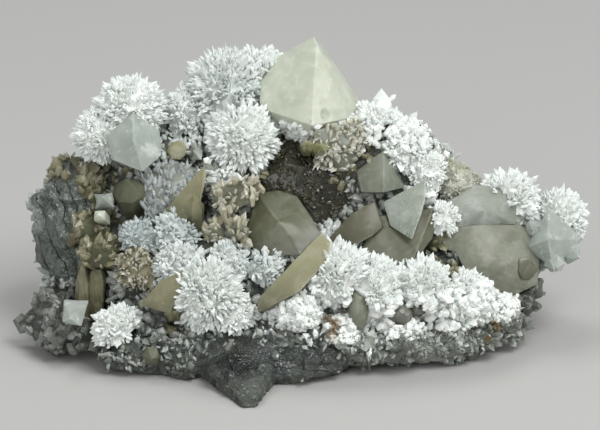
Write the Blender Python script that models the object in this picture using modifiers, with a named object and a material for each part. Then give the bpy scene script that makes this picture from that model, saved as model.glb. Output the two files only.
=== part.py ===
"""Aragonite specimen: white sprays and clear pointed crystals grown over a piece of dark rock.

Shapes are worked out in millimetres and turned to metres at the end. +X is the viewer's right,
-Y faces the viewer, +Z is up, and the origin is under the middle of the specimen on its flat base.
"""

import math
import random

import bmesh
import bpy
from mathutils import Matrix, Vector, noise
from mathutils.bvhtree import BVHTree

# driving dimensions, in millimetres
GAP = 0.3
SPIKE_ROOT = 0.74
SPIKE_SPREAD = 0.16
TIP_SPREAD = 0.10
SPIKE_AREA = 5.3
SPIKE_CLEAR = 0.6
SPIKE_SINK = 0.8
SPRAY_GRID = 0.9
SPLIT_REACH = 1.22
ROCK_GAP = 0.5
ROCK_GRID = 1.7
ROCK_ROUGH = 2.1
ROCK_FACETS = 900
BASE_Z = 0.0
FAR = 200.0

OBJECT_NAME = "aragonite_specimen"

# colour, roughness, metallic of each material
LOOKS = {
    "rock": ((0.055, 0.062, 0.048, 1.0), 0.62, 0.05),
    "spray_white": ((0.62, 0.68, 0.64, 1.0), 0.38, 0.0),
    "crystal_pale": ((0.58, 0.65, 0.55, 1.0), 0.22, 0.0),
    "crystal_olive": ((0.22, 0.23, 0.13, 1.0), 0.28, 0.0),
    "crystal_tan": ((0.34, 0.31, 0.17, 1.0), 0.32, 0.0),
    "crystal_grey": ((0.33, 0.37, 0.34, 1.0), 0.25, 0.0),
    "crystal_dark": ((0.07, 0.08, 0.05, 1.0), 0.22, 0.0),
    "crystal_yellow": ((0.55, 0.52, 0.30, 1.0), 0.30, 0.0),
}

# the lumps the rock is made of: centre, radii
ROCK_LUMPS = [
    ((-6, 1, 12), (42, 25, 16)),
    ((24, -1, 10), (23, 20, 13)),
    ((-45, 3, 20), (11, 13, 17)),
    ((-16, 5, 30), (25, 13, 15)),
    ((14, 5, 28), (20, 12, 16)),
    ((36, 2, 17), (15, 11, 11)),
    ((-6, -25, 4), (19, 8, 7)),
    ((-27, -21, 4), (15, 9, 6)),
    ((-47, -10, 3), (8, 8, 6)),
    ((-22, 20, 22), (13, 7, 9)),
    ((18, 17, 14), (12, 8, 10)),
]
# the shard that juts out at the foot: its corners
SHARD = [(-21.5, -28, 6), (-4, -27, 7), (-18.6, -33.5, 4.2), (-8.4, -35.5, 4.6), (-11.8, -45.4, 1.6),
         (-8.4, -44.6, 2.4), (-20.5, -28, -1), (-4, -28, -1), (-11.2, -45, -1), (-8.6, -44.4, -1)]

# white sprays: each has its balls as centre, radius
SPRAYS = {
    "crown_spray": [((-15, 7, 49), 9.4), ((-7.5, 8, 52.2), 6.6), ((-23.5, 4.5, 45.5), 5.8),
                    ((-11.8, -4, 42.6), 7.6)],
    "left_spray": [((-35.2, 0, 47.8), 7.4), ((-41.0, -2, 43.0), 5.8)],
    "crest_spray": [((15.2, 2, 42.4), 6.4), ((21, 0, 39.2), 6.3), ((26.2, -3, 35.4), 4.6),
                    ((17.2, 4, 47.4), 3.4), ((26.6, -6.5, 30.5), 2.9)],
    "yellow_lump": [((31.6, 1, 31.8), 5.0), ((35.4, 1, 30.4), 3.6)],
    "dome_spray": [((43.2, 0, 27.4), 7.0), ((38.4, -1, 27.0), 4.0)],
    "tip_spray": [((54.6, 3, 22.8), 6.2)],
    "ball_spray": [((29.2, -9, 27.2), 4.1)],
    "heart_spray": [((-18.6, -23, 16.0), 8.4), ((-24.4, -19.5, 20.4), 5.6), ((-14.4, -20, 21.0), 5.2),
                    ((-7.0, -18.5, 19.6), 5.6), ((-13.0, -25.0, 12.6), 5.0)],
    "fan_spray": [((-25.2, -13, 25.0), 6.0), ((-32.6, -13, 24.2), 4.6)],
    "brown_cluster": [((-33.2, -18.5, 19.8), 4.6), ((-29.8, -19, 17.6), 3.4)],
    "floor_spray": [((-37.1, -23.5, 8.4), 5.4)],
    "crust_spray": [((0.0, -25, 12.6), 6.4), ((7.2, -22, 19.0), 7.8), ((15.3, -22, 15.6), 7.6),
                    ((24.5, -20, 15.4), 7.4), ((33.2, -18, 12.4), 7.0), ((40.2, -14.5, 8.0), 5.6),
                    ((8.0, -26, 7.6), 6.2), ((20.0, -24, 7.6), 6.0), ((30.5, -20.5, 6.2), 5.6)],
    "back_spray": [((-13, 17, 40), 8.0), ((-24, 13, 38), 6.4)],
    "crest_back_spray": [((21, 12, 34), 6.6), ((31, 11, 27), 5.2)],
    "low_back_spray": [((16, 23.5, 19), 6.4), ((6, 24, 16), 5.0)],
}
SPRAY_LOOKS = {"yellow_lump": "crystal_yellow", "brown_cluster": "crystal_tan"}
# how far the spikes of a lump go in, where it isn't the usual share
SPIKE_ROOTS = {"yellow_lump": 0.9}

# crystals with corners read one by one: corners, look
CORNERED = {
    "great_crystal": ([(2.9, 4, 62.5), (3.5, 2, 61.6), (2.4, -8, 47.1), (9.6, -2, 46.5), (11.9, 3, 47.0),
                       (5.6, 8, 58.1), (8.8, 10, 52.2), (12.2, 10, 47.4), (-4.4, 6, 57.7), (-8.3, 2, 53.2),
                       (-8.3, -1, 48.6), (-3, 14, 50), (5, 15, 48), (0, 3, 36), (6, 6, 37)], "crystal_pale"),
    "shoulder_crystal": ([(3.0, -7.4, 46.0), (12.8, -1.6, 46.2), (13.6, -4, 40.4), (9.3, -6.4, 36.3),
                          (3.3, -5, 36.5), (2.7, -8, 43), (7, 2, 36), (8, -7.6, 42)], "crystal_grey"),
    "pale_rhomb": ([(-34.2, -7, 49.7), (-39.7, -9, 45.4), (-28.7, -8, 46.1), (-38.4, -12, 41),
                    (-32, -14, 39.1), (-28.2, -11, 41.8), (-33.7, -14, 45.6), (-34, -4, 40)], "crystal_pale"),
    "tan_crystal": ([(-8.8, -12, 33.6), (-4.7, -10, 33.8), (-0.6, -12, 33.2), (4.3, -17.5, 27.3),
                     (0, -21.5, 23.8), (-9.2, -19.5, 23.3), (-11.2, -16.5, 26.5), (-4, -8, 24),
                     (-4.5, -18.5, 30)], "crystal_olive"),
    "great_blade": ([(4.3, -20, 28.3), (6.3, -22, 26.9), (5.5, -25, 23.7), (1.6, -28, 19.9),
                     (0, -30, 19.3), (-1.6, -25, 23.3), (-8.7, -29, 17), (-8.5, -31.5, 15.2),
                     (2.5, -20, 20), (-6, -26, 13.5)], "crystal_tan"),
    "slab_blade": ([(5.3, -16, 25.1), (10.8, -13, 29.9), (15.4, -11, 31.9), (17.0, -14.5, 27.4),
                    (14.8, -17, 26.4), (9.6, -19, 24.0), (10, -10, 25), (15, -10, 26)], "crystal_olive"),
    "grey_pyramid": ([(17.3, -5, 40.6), (11.6, -5, 36.6), (12.6, -9, 33.0), (17.1, -12, 34.0),
                      (21.9, -6, 33), (16.5, -3, 30), (12, -3, 32)], "crystal_grey"),
    "pale_pyramid": ([(25.9, -10, 36.2), (17.0, -11, 31.6), (18.4, -14, 27.4), (22.9, -18, 25.8),
                      (25.6, -13, 32.0), (21, -8, 26), (24, -7, 30)], "crystal_pale"),
    "olive_wedge": ([(15.0, -12, 28.6), (27.6, -11, 30.4), (27.4, -13, 24.6), (22.4, -20, 20.3),
                     (12.6, -17.4, 22.8), (21, -9, 22), (18, -8, 27)], "crystal_olive"),
    "pale_slab": ([(28.6, -9, 24.4), (35.0, -9.6, 25.6), (44.8, -7, 25.4), (49.8, -6, 21.4),
                   (49.0, -11, 13.6),
                   (41.3, -15, 11.4), (31.9, -15.6, 17), (28.4, -12, 20.4), (38.5, -15.6, 19.6),
                   (34, -2, 18), (46, -2, 15)], "crystal_pale"),
    "upper_slab": ([(30.2, -6, 29.1), (36.4, -2, 31.8), (42.6, -3, 31.3), (46.4, -5, 26.2),
                    (44.6, -7.4, 25.4),
                    (32, -9.4, 25.4), (38, -8.6, 28.6), (36, 0, 26), (44, 0, 26)], "crystal_pale"),
    "round_knob": ([(44.8, -11, 19.4), (47.6, -10.6, 19.2), (49.2, -10.4, 16.6), (47.8, -11.4, 14.0),
                    (45.2, -12.6, 14.4), (44.2, -12, 17), (46.6, -13.4, 16.8), (46.6, -8, 16.5)],
                   "crystal_olive"),
    "blue_slab": ([(-32.5, -8, 36.4), (-27.2, -6, 38.3), (-20.6, -6, 37.2), (-20.9, -12, 29.7),
                   (-32, -12, 29.1), (-27, -11.5, 34), (-26, -3, 30)], "crystal_grey"),
    "olive_ridge": ([(-18.4, -14, 35.2), (-12.3, -12, 36.7), (-8.2, -13, 36.6), (-9.2, -17, 34.1),
                     (-15.9, -18, 30.8), (-12, -9, 31)], "crystal_olive"),
    "recess_crystal": ([(-9.9, -7, 32.7), (-8.7, -3, 38.3), (-1.7, -1, 42.0), (6.6, -1, 39.4), (10.8, -4, 35),
                        (11.4, -6, 32), (4.5, -10.6, 25), (-3.1, -6.5, 38.2), (5.6, -6.6, 36.6),
                        (0, 2, 28)], "crystal_dark"),
    "lump_rhomb": ([(-48.4, -20, 13.6), (-43.2, -20, 13.4), (-44.4, -26, 10.0), (-48.4, -25.6, 10.8),
                    (-46.5, -27, 12.2), (-45.5, -18, 8)], "crystal_grey"),
}

# pointed crystals: foot, tip, width, thickness, sides, shoulder share, turn in degrees, look
POINTED = {
    "knob_crystal": ((-34.5, -6, 28), (-35.6, -12.8, 37.2), 7.0, 6.2, 8, 0.62, 10, "crystal_olive"),
    "brown_prism": ((-15.2, -5, 31), (-15.6, -8.4, 40.6), 3.0, 2.4, 6, 0.72, 0, "crystal_olive"),
    "small_rhomb": ((-40, -8, 30), (-40.4, -14.8, 34.0), 5.6, 4.4, 4, 0.5, 45, "crystal_pale"),
    "small_cube": ((-40, -10, 27), (-41.2, -15.8, 30.6), 3.2, 3.0, 4, 0.8, 30, "crystal_pale"),
    "yellow_knob": ((-25.0, 0, 38), (-25.4, -6.2, 41.4), 4.2, 4.2, 7, 0.8, 0, "crystal_yellow"),
    "crust_lens": ((19.8, -20, 12), (20.4, -29.6, 13.6), 5.6, 4.4, 7, 0.8, 0, "crystal_dark"),
    "crust_lens_left": ((11.8, -20, 13), (11.9, -30.2, 14.4), 3.4, 7.6, 6, 0.8, 0, "crystal_dark"),
    "crust_lens_right": ((23.6, -18, 12), (24.2, -27.6, 14.0), 3.2, 3.4, 6, 0.8, 0, "crystal_dark"),
    "back_crystal": ((2, 8, 34), (3.5, 21.5, 46), 9.5, 7.5, 6, 0.6, 15, "crystal_pale"),
    "back_crystal_left": ((-34, 6, 30), (-39, 14, 41), 8.0, 6.5, 6, 0.6, 0, "crystal_grey"),
    "back_crystal_low": ((30, 8, 14), (37, 17.5, 21), 8.0, 6.0, 6, 0.55, 30, "crystal_olive"),
    "lens_front": ((-29, -18, 4.4), (-30.2, -31.8, 5.2), 4.4, 4.2, 6, 0.85, 0, "crystal_olive"),
}

# groups of blades grown together: foot, tip, width, thickness for each blade
GROUPS = {
    "upright_blades": ([[(-19.5, -13, 40.3), (-27.7, -13, 30.5), (-23.5, -15.5, 28.9), (-19.1, -13.5, 38.5),
                         (-20.2, -16, 33.6), (-21, -8, 30), (-25, -9, 28)],
                        ((-21.4, -12, 24), (-21.6, -16.6, 35.6), 4.2, 3.4),
                        ((-18.2, -10, 26), (-18.0, -15.0, 36.0), 4.0, 3.6)], "crystal_tan"),
    "spark_ridge": ([((-17.6, -7, 31), (-19.0, -10.0, 40.4), 3.2, 2.6),
                     ((-14.6, -7, 31), (-15.4, -10.6, 38.6), 3.4, 2.8),
                     ((-16.4, -7, 31), (-17.4, -9.6, 39.6), 3.0, 2.6),
                     ((-15.0, -8, 31), (-12.6, -11.6, 36.4), 3.2, 2.6)],
                    "spray_white"),
    "olive_facets": ([((-41.6, -2, 29), (-41.0, -7.6, 39.6), 6.4, 5.4),
                      ((-44, -2, 25), (-47.4, -10.2, 33.4), 8.0, 6.6),
                      ((-42, -4, 21), (-45.2, -13.6, 27.6), 8.2, 6.6),
                      ((-40, -8, 17), (-41.8, -17.4, 24.0), 8.6, 7.0)],
                     "crystal_olive"),
    "grey_shards": ([((-16.5, -11, 21), (-17.4, -18.0, 29.6), 5.0, 4.4),
                     ((-13.0, -11, 21), (-12.6, -19.4, 30.2), 5.6, 4.8),
                     ((-13, -12, 19), (-10.6, -20.8, 24.8), 4.6, 4.4)], "crystal_grey"),
    "clear_fill": ([((27.5, -6, 20), (28.6, -12.4, 24.6), 5.4, 5.0),
                    ((27, -8, 16), (29.4, -15.8, 19.2), 6.0, 5.0),
                    ((24.5, -8, 18), (26.0, -17.0, 21.6), 5.0, 4.4)], "crystal_olive"),
    "back_cluster": ([((-20, 20, 22), (-22.6, 33.5, 32.0), 8.0, 7.0),
                      ((-24, 18, 20), (-33.0, 29.5, 26.4), 7.6, 6.6),
                      ((-18, 20, 20), (-13.0, 33.0, 24.4), 6.6, 6.0)], "crystal_pale"),
    "grey_blades": ([((-22.6, -3, 36), (-21.4, -5.4, 42.6), 2.6, 2.2),
                     ((-23.4, -3, 36), (-23.8, -5.8, 39.8), 2.8, 2.4)],
                    "crystal_grey"),
    "yellow_rhombs": ([((1.4, -4, 40), (1.6, -10.2, 44.2), 3.2, 2.8),
                       ((3.8, -4, 39.4), (4.2, -10.4, 43.8), 3.6, 2.8)],
                      "crystal_yellow"),
    "tan_prisms": ([[(-23.6, -26, 22.4), (-32.6, -25, 14.4), (-26.2, -28.5, 13.8), (-28.4, -24.5, 19.2),
                     (-24.3, -28, 19.0), (-28, -20, 12), (-25, -20, 16)],
                    ((-26.4, -21, 10), (-25.2, -29.6, 14.6), 4.0, 3.6),
                    ((-27.0, -21, 8), (-25.6, -29.8, 9.6), 3.8, 3.4)],
                   "crystal_tan"),
    "left_columns": ([((-44.6, -14, 5), (-44.6, -13.4, 19.6), 3.6, 3.4),
                      ((-42.0, -14, 5), (-41.6, -14.4, 21.6), 3.6, 3.4),
                      ((-38.6, -16, 10), (-37.8, -16.6, 20.2), 3.8, 3.2)], "crystal_tan"),
    "right_cluster": ([[(51.7, -4, 27.9), (46.8, -8.4, 20.6), (59.0, -4, 20.8), (52.4, -9.4, 16.2),
                        (51, -11.4, 23.4), (53.5, 3, 21), (52, -1, 15)],
                       ((50, -3, 20), (47.4, -7.6, 26.2), 4.4, 4.0),
                       ((53, -4, 18), (52.6, -12.0, 17.0), 4.6, 4.2),
                       ((54, -2, 19), (58.2, -7.0, 17.6), 4.8, 4.0)], "crystal_grey"),
    "left_lump": ([((-47, -12, 5), (-58.8, -14.2, 6.0), 9.0, 8.0),
                   ((-48, -13, 4), (-53.6, -16.4, 14.0), 9.0, 8.0),
                   ((-48, -13, 5), (-52.0, -23.6, 5.4), 10.0, 7.0),
                   ((-46, -14, 5), (-44.4, -24.6, 6.6), 8.0, 7.0)],
                  "crystal_grey"),
    "clear_patch": ([((45, -8, 8), (50.6, -8.6, 13.6), 6.4, 5.4), ((44, -8, 6), (46.0, -14.0, 3.2), 6.4, 5.0),
                     ((44, -9, 9), (48.0, -14.0, 9.8), 6.6, 5.6)], "crystal_grey"),
}


def put(name, shape, collection):
    """The shape as an object of this collection, its faces turned outwards."""
    bmesh.ops.recalc_face_normals(shape, faces=shape.faces)
    mesh = bpy.data.meshes.new(name)
    shape.to_mesh(mesh)
    shape.free()
    made = bpy.data.objects.new(name, mesh)
    collection.objects.link(made)
    return made


def combine(target, other, operation):
    """Applies one Boolean of the other object to the target."""
    modifier = target.modifiers.new("combine", "BOOLEAN")
    modifier.operation = operation
    modifier.solver = "EXACT"
    modifier.use_self = True
    modifier.object = other
    apply_modifiers(target)


def apply_modifiers(target):
    """Turns the object's modifiers into plain mesh."""
    graph = bpy.context.evaluated_depsgraph_get()
    result = bpy.data.meshes.new_from_object(target.evaluated_get(graph))
    old = target.data
    target.modifiers.clear()
    target.data = result
    bpy.data.meshes.remove(old)


def remove(item):
    """Takes an object and its mesh out of the file."""
    mesh = item.data
    bpy.data.objects.remove(item)
    bpy.data.meshes.remove(mesh)


def overlapping(first, second, reach):
    """True where the boxes round the two objects come within reach of each other."""
    for axis in range(3):
        a = [vertex.co[axis] for vertex in first.data.vertices]
        b = [vertex.co[axis] for vertex in second.data.vertices]
        if min(a) > max(b) + reach or min(b) > max(a) + reach:
            return False
    return True


def grown(item, by, most, cutters):
    """A copy of the object whose faces are moved outwards, to leave a gap round it."""
    shape = bmesh.new()
    shape.from_mesh(item.data)
    shape.normal_update()
    moves = [vertex.normal * by * min(vertex.calc_shell_factor(), most) for vertex in shape.verts]
    for vertex, move in zip(shape.verts, moves):
        vertex.co += move
    return put(item.name + "_room", shape, cutters)


def keep_largest(item):
    """Leaves only the largest of the bodies that a cut may have made."""
    shape = bmesh.new()
    shape.from_mesh(item.data)
    left = set(shape.faces)
    bodies = []
    while left:
        seed = left.pop()
        body = {seed}
        queue = [seed]
        while queue:
            face = queue.pop()
            for edge in face.edges:
                if len(edge.link_faces) != 2:
                    continue
                for other in edge.link_faces:
                    if other not in body:
                        body.add(other)
                        queue.append(other)
        left -= body
        bodies.append(body)
    bodies.sort(key=lambda body: sum(face.calc_area() for face in body))
    for body in bodies[:-1]:
        bmesh.ops.delete(shape, geom=list(body), context="FACES")
    shape.to_mesh(item.data)
    shape.free()


def tree_of(item):
    """A search tree of the object's faces."""
    shape = bmesh.new()
    shape.from_mesh(item.data)
    tree = BVHTree.FromBMesh(shape)
    shape.free()
    return tree


def cut_free(item, rooms):
    """Cuts the object clear of each of these rooms and keeps its largest body."""
    for room in rooms:
        if overlapping(item, room, 0):
            combine(item, room, "DIFFERENCE")
    keep_largest(item)


def hull_of(points):
    """The convex body round these points."""
    shape = bmesh.new()
    for point in points:
        shape.verts.new(point)
    made = bmesh.ops.convex_hull(shape, input=shape.verts)
    inside = [item for item in made["geom_interior"] if isinstance(item, bmesh.types.BMVert)]
    unused = [item for item in made["geom_unused"] if isinstance(item, bmesh.types.BMVert)]
    bmesh.ops.delete(shape, geom=list(set(inside + unused)), context="VERTS")
    bmesh.ops.dissolve_limit(shape, angle_limit=math.radians(1.0), verts=shape.verts, edges=shape.edges)
    return shape


def pointed_corners(foot, tip, wide, thick, sides, shoulder, turn):
    """Corners of a prism from foot to shoulder that ends in a point, its broad side to the viewer."""
    start = Vector(foot)
    end = Vector(tip)
    along = (end - start).normalized()
    across = along.cross(Vector((0, 1, 0))).normalized()
    deep = along.cross(across).normalized()
    corners = [end]
    for share, size in ((0.0, 0.8), (shoulder, 1.0)):
        for step in range(sides):
            angle = math.radians(turn) + 2 * math.pi * step / sides
            offset = across * math.cos(angle) * wide / 2 + deep * math.sin(angle) * thick / 2
            corners.append(start.lerp(end, share) + offset * size)
    return corners


def crystal_bodies():
    """For each crystal its name, its look and the corners of each convex body it is made of."""
    found = [(name, look, [corners]) for name, (corners, look) in CORNERED.items()]
    for name, values in POINTED.items():
        found.append((name, values[7], [pointed_corners(*values[:7])]))
    for name, (blades, look) in GROUPS.items():
        bodies = []
        for number, blade in enumerate(blades):
            corners = blade if isinstance(blade, list) else pointed_corners(*blade, 6, 0.68, 17 * number)
            bodies.append(corners)
        found.append((name, look, bodies))
    return found


def make_crystal(name, bodies, cutters):
    """A crystal, or blades grown together and joined in one solid, and the room each body takes up."""
    whole = put(name, hull_of(bodies[0]), cutters)
    rooms = [grown(whole, GAP, 1.8, cutters)]
    for corners in bodies[1:]:
        body = put(name, hull_of(corners), cutters)
        rooms.append(grown(body, GAP, 1.8, cutters))
        combine(whole, body, "UNION")
        remove(body)
    return whole, rooms


def split_planes(name):
    """The planes where this spray's balls meet those of other sprays, with the ball each one cuts."""
    planes = []
    for number, (place, radius) in enumerate(SPRAYS[name]):
        centre = Vector(place)
        for other, balls in SPRAYS.items():
            if other == name:
                continue
            for other_place, size in balls:
                away = Vector(other_place) - centre
                distance = away.length
                if distance > (radius + size) * SPLIT_REACH:
                    continue
                share = (distance ** 2 + radius ** 2 - size ** 2) / (2 * distance)
                direction = away.normalized()
                planes.append((number, centre + direction * (share - GAP / 2), direction))
    return planes


def make_core(name, number, planes, cutters):
    """The smooth core of one ball of a spray, cut flat where it meets another spray."""
    centre, radius = SPRAYS[name][number]
    shape = bmesh.new()
    bmesh.ops.create_icosphere(shape, subdivisions=3, radius=radius * SPIKE_ROOTS.get(name, SPIKE_ROOT))
    bmesh.ops.translate(shape, vec=centre, verts=shape.verts)
    for owner, point, direction in planes:
        if owner == number:
            geometry = shape.verts[:] + shape.edges[:] + shape.faces[:]
            inner = point - direction * SPIKE_CLEAR
            bmesh.ops.bisect_plane(shape, geom=geometry, plane_co=inner, plane_no=direction, clear_outer=True)
            bmesh.ops.holes_fill(shape, edges=shape.edges, sides=0)
    return put(name, shape, cutters)


def raise_spikes(item, name, planes, rock_tree):
    """Raises a spike on each face of the core that is clear of the rock and of the planes of other sprays."""
    draw = random.Random(name)
    balls = [(Vector(centre), radius) for centre, radius in SPRAYS[name]]
    shape = bmesh.new()
    shape.from_mesh(item.data)
    bmesh.ops.triangulate(shape, faces=shape.faces)
    shape.normal_update()
    chosen = []
    for face in shape.faces:
        middle = face.calc_center_median()
        place, normal, _, _ = rock_tree.find_nearest(middle)
        if (middle - place).dot(normal) > -SPIKE_SINK:
            chosen.append(face)
    tips = bmesh.ops.poke(shape, faces=chosen)["verts"]
    for tip in tips:
        ranked = sorted(balls, key=lambda ball: (tip.co - ball[0]).length / ball[1])
        centre, radius = ranked[0]
        out = tip.co - centre
        reach = radius * (1 + draw.uniform(-SPIKE_SPREAD, SPIKE_SPREAD))
        if len(ranked) > 1:
            crowd = (tip.co - ranked[1][0]).length / ranked[1][1]
            open_share = min(1.0, max(0.12, (crowd - 0.82) / 0.3))
            reach = out.length + (reach - out.length) * open_share
        aim = out.normalized() + Vector([draw.uniform(-TIP_SPREAD, TIP_SPREAD) for _ in range(3)])
        target = centre + aim.normalized() * max(reach, out.length + 0.15)
        for _, point, direction in planes:
            over = (target - point).dot(direction)
            if over > 0 and (tip.co - point).dot(direction) < 0:
                target -= direction * over
        tip.co = target
    shape.to_mesh(item.data)
    shape.free()


def make_spray(name, rock_tree, cutters):
    """A white spray: its balls' smooth cores joined, given broken facets, and a spike raised on each."""
    planes = split_planes(name)
    whole = make_core(name, 0, planes, cutters)
    for number in range(1, len(SPRAYS[name])):
        core = make_core(name, number, planes, cutters)
        combine(whole, core, "UNION")
        remove(core)
    even_grid(whole, SPRAY_GRID)
    break_facets(whole, sum(face.area for face in whole.data.polygons) / SPIKE_AREA)
    raise_spikes(whole, name, planes, rock_tree)
    return whole


def make_lump(name, values, cutters):
    """One smooth lump of the rock."""
    centre, radii = values
    shape = bmesh.new()
    bmesh.ops.create_icosphere(shape, subdivisions=4, radius=1.0)
    bmesh.ops.scale(shape, vec=radii, verts=shape.verts)
    bmesh.ops.translate(shape, vec=centre, verts=shape.verts)
    return put(name, shape, cutters)


def even_grid(item, size):
    """Rebuilds the surface as an even grid of small faces that doesn't cross itself."""
    grid = item.modifiers.new("grid", "REMESH")
    grid.mode = "VOXEL"
    grid.voxel_size = size
    apply_modifiers(item)


def break_facets(item, count):
    """Turns the even grid into about this many flat facets."""
    facets = item.modifiers.new("facets", "DECIMATE")
    facets.ratio = count / sum(len(face.vertices) - 2 for face in item.data.polygons)
    apply_modifiers(item)


def cut_flat(item, height):
    """Cuts the object off flat at this height and closes it below."""
    shape = bmesh.new()
    shape.from_mesh(item.data)
    geometry = shape.verts[:] + shape.edges[:] + shape.faces[:]
    bmesh.ops.bisect_plane(shape, geom=geometry, plane_co=(0, 0, height), plane_no=(0, 0, 1),
                           clear_inner=True)
    bmesh.ops.holes_fill(shape, edges=shape.edges, sides=0)
    bmesh.ops.triangulate(shape, faces=shape.faces)
    bmesh.ops.recalc_face_normals(shape, faces=shape.faces)
    shape.to_mesh(item.data)
    shape.free()


def make_rock(cutters):
    """The rock: lumps joined, roughened, given broken facets and cut off flat below."""
    whole = make_lump("matrix", ROCK_LUMPS[0], cutters)
    for values in ROCK_LUMPS[1:]:
        lump = make_lump("lump", values, cutters)
        combine(whole, lump, "UNION")
        remove(lump)
    even_grid(whole, ROCK_GRID)
    shape = bmesh.new()
    shape.from_mesh(whole.data)
    bmesh.ops.smooth_vert(shape, verts=shape.verts, factor=0.5,
                          use_axis_x=True, use_axis_y=True, use_axis_z=True)
    shape.normal_update()
    for vertex in shape.verts:
        broad = noise.fractal(vertex.co * 0.09, 1.0, 2.0, 4)
        ledge = abs(noise.noise(vertex.co * 0.21 + Vector((9, 4, 2)))) - 0.22
        vertex.co += vertex.normal * ROCK_ROUGH * (1.5 * broad + 1.6 * ledge)
    shape.to_mesh(whole.data)
    shape.free()
    even_grid(whole, ROCK_GRID)
    cut_flat(whole, BASE_Z - 0.3)
    break_facets(whole, ROCK_FACETS)
    shard = put("shard", hull_of(SHARD), cutters)
    combine(whole, shard, "UNION")
    remove(shard)
    cut_flat(whole, BASE_Z)
    keep_largest(whole)
    return whole


def box_below(cutters):
    """Everything under the flat base."""
    shape = bmesh.new()
    bmesh.ops.create_cube(shape, size=1.0)
    bmesh.ops.scale(shape, vec=(FAR, FAR, FAR), verts=shape.verts)
    bmesh.ops.translate(shape, vec=(0, 0, BASE_Z - FAR / 2), verts=shape.verts)
    return put("below", shape, cutters)


def finish(item, look, pieces, materials):
    """Gives the piece its material and its place in the object, in metres."""
    item.data.transform(Matrix.Scale(0.001, 4))
    item.data.materials.clear()
    item.data.materials.append(materials[look])
    for collection in item.users_collection:
        collection.objects.unlink(item)
    pieces.objects.link(item)


def centre_all(items):
    """Moves every piece so that the middle of the whole stands over the origin."""
    for axis in (0, 1):
        places = [vertex.co[axis] for item in items for vertex in item.data.vertices]
        middle = (min(places) + max(places)) / 2
        move = Vector((0, 0, 0))
        move[axis] = -middle
        for item in items:
            item.data.transform(Matrix.Translation(move))


def make_materials():
    """One plain material for each look."""
    made = {}
    for name, (colour, rough, metallic) in LOOKS.items():
        material = bpy.data.materials.new(name)
        material.use_nodes = True
        shader = material.node_tree.nodes["Principled BSDF"]
        shader.inputs["Base Color"].default_value = colour
        shader.inputs["Roughness"].default_value = rough
        shader.inputs["Metallic"].default_value = metallic
        made[name] = material
    return made


def new_collection(name, hidden):
    """A collection of the scene, left out of the render when it holds cutters."""
    made = bpy.data.collections.new(name)
    made.hide_render = hidden
    bpy.context.scene.collection.children.link(made)
    return made


def main():
    for item in list(bpy.data.objects):
        bpy.data.objects.remove(item)
    pieces = new_collection(OBJECT_NAME, False)
    cutters = new_collection("cutters", True)
    materials = make_materials()

    below = box_below(cutters)
    rock = make_rock(cutters)
    rock_room = grown(rock, ROCK_GAP, 1.6, cutters)
    rock_tree = tree_of(rock)

    rooms = []
    done = []
    for name, look, bodies in crystal_bodies():
        item, own_rooms = make_crystal(name, bodies, cutters)
        cut_free(item, rooms + [rock_room, below])
        rooms += own_rooms
        done.append((item, look))
    for name in SPRAYS:
        spray = make_spray(name, rock_tree, cutters)
        cut_free(spray, [rock_room, below] + rooms)
        done.append((spray, SPRAY_LOOKS.get(name, "spray_white")))

    centre_all([rock] + [item for item, _ in done])
    finish(rock, "rock", pieces, materials)
    for item, look in done:
        finish(item, look, pieces, materials)
    for item in rooms + [rock_room, below]:
        remove(item)
    bpy.data.collections.remove(cutters)


main()
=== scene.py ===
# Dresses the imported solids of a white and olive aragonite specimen: sprays of pointed blades,
# clear and frosted crystals, and the dark rough rock that they grew on.
import math

import bmesh
import bpy
import numpy as np
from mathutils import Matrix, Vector, noise
from mathutils.bvhtree import BVHTree


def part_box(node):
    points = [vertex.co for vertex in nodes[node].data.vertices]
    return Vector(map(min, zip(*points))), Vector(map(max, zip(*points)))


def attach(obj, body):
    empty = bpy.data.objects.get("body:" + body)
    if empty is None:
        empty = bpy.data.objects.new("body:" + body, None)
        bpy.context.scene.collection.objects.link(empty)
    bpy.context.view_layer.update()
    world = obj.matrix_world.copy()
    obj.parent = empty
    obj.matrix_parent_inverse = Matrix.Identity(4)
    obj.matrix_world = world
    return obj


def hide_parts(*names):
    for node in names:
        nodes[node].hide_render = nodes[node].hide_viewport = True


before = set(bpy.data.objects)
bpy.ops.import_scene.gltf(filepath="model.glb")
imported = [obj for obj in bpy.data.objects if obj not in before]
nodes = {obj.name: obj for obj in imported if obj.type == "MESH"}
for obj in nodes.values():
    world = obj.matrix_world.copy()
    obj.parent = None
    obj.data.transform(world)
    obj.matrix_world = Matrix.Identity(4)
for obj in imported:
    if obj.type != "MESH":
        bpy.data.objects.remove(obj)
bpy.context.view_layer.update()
noise.seed_set(5)  # noise_vector takes its offsets from this; unset, they come from the clock
mm = 0.001
# the tables below are in millimetres from the point the pieces were measured from; this moves
# them to the frame, whose middle is under the whole specimen
toFrame = Vector((-0.765, 5.95, 0.0))


def layout(point):  # a point of the tables, in metres of the frame
    return (Vector(point) + toFrame) * mm


# node helpers
def feed(tree, socket, value):  # joins another node's output to the socket, or sets its plain value
    if isinstance(value, bpy.types.NodeSocket):
        tree.links.new(value, socket)
    else:
        socket.default_value = value


def addNode(tree, kind, inputs=None, **settings):
    node = tree.nodes.new(kind)
    for name, value in settings.items():
        setattr(node, name, value)
    for key, value in (inputs or {}).items():
        feed(tree, node.inputs[key], value)
    return node


def mathNode(tree, operation, first, second=0.0, clamp=False):
    return addNode(tree, "ShaderNodeMath", {0: first, 1: second}, operation=operation,
                   use_clamp=clamp).outputs[0]


def times(tree, first, second):
    return mathNode(tree, "MULTIPLY", first, second)


def rangeNode(tree, value, low, high, outLow=0.0, outHigh=1.0):
    return addNode(tree, "ShaderNodeMapRange", {"Value": value, "From Min": low, "From Max": high,
                   "To Min": outLow, "To Max": outHigh}, interpolation_type="SMOOTHSTEP").outputs[0]


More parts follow.
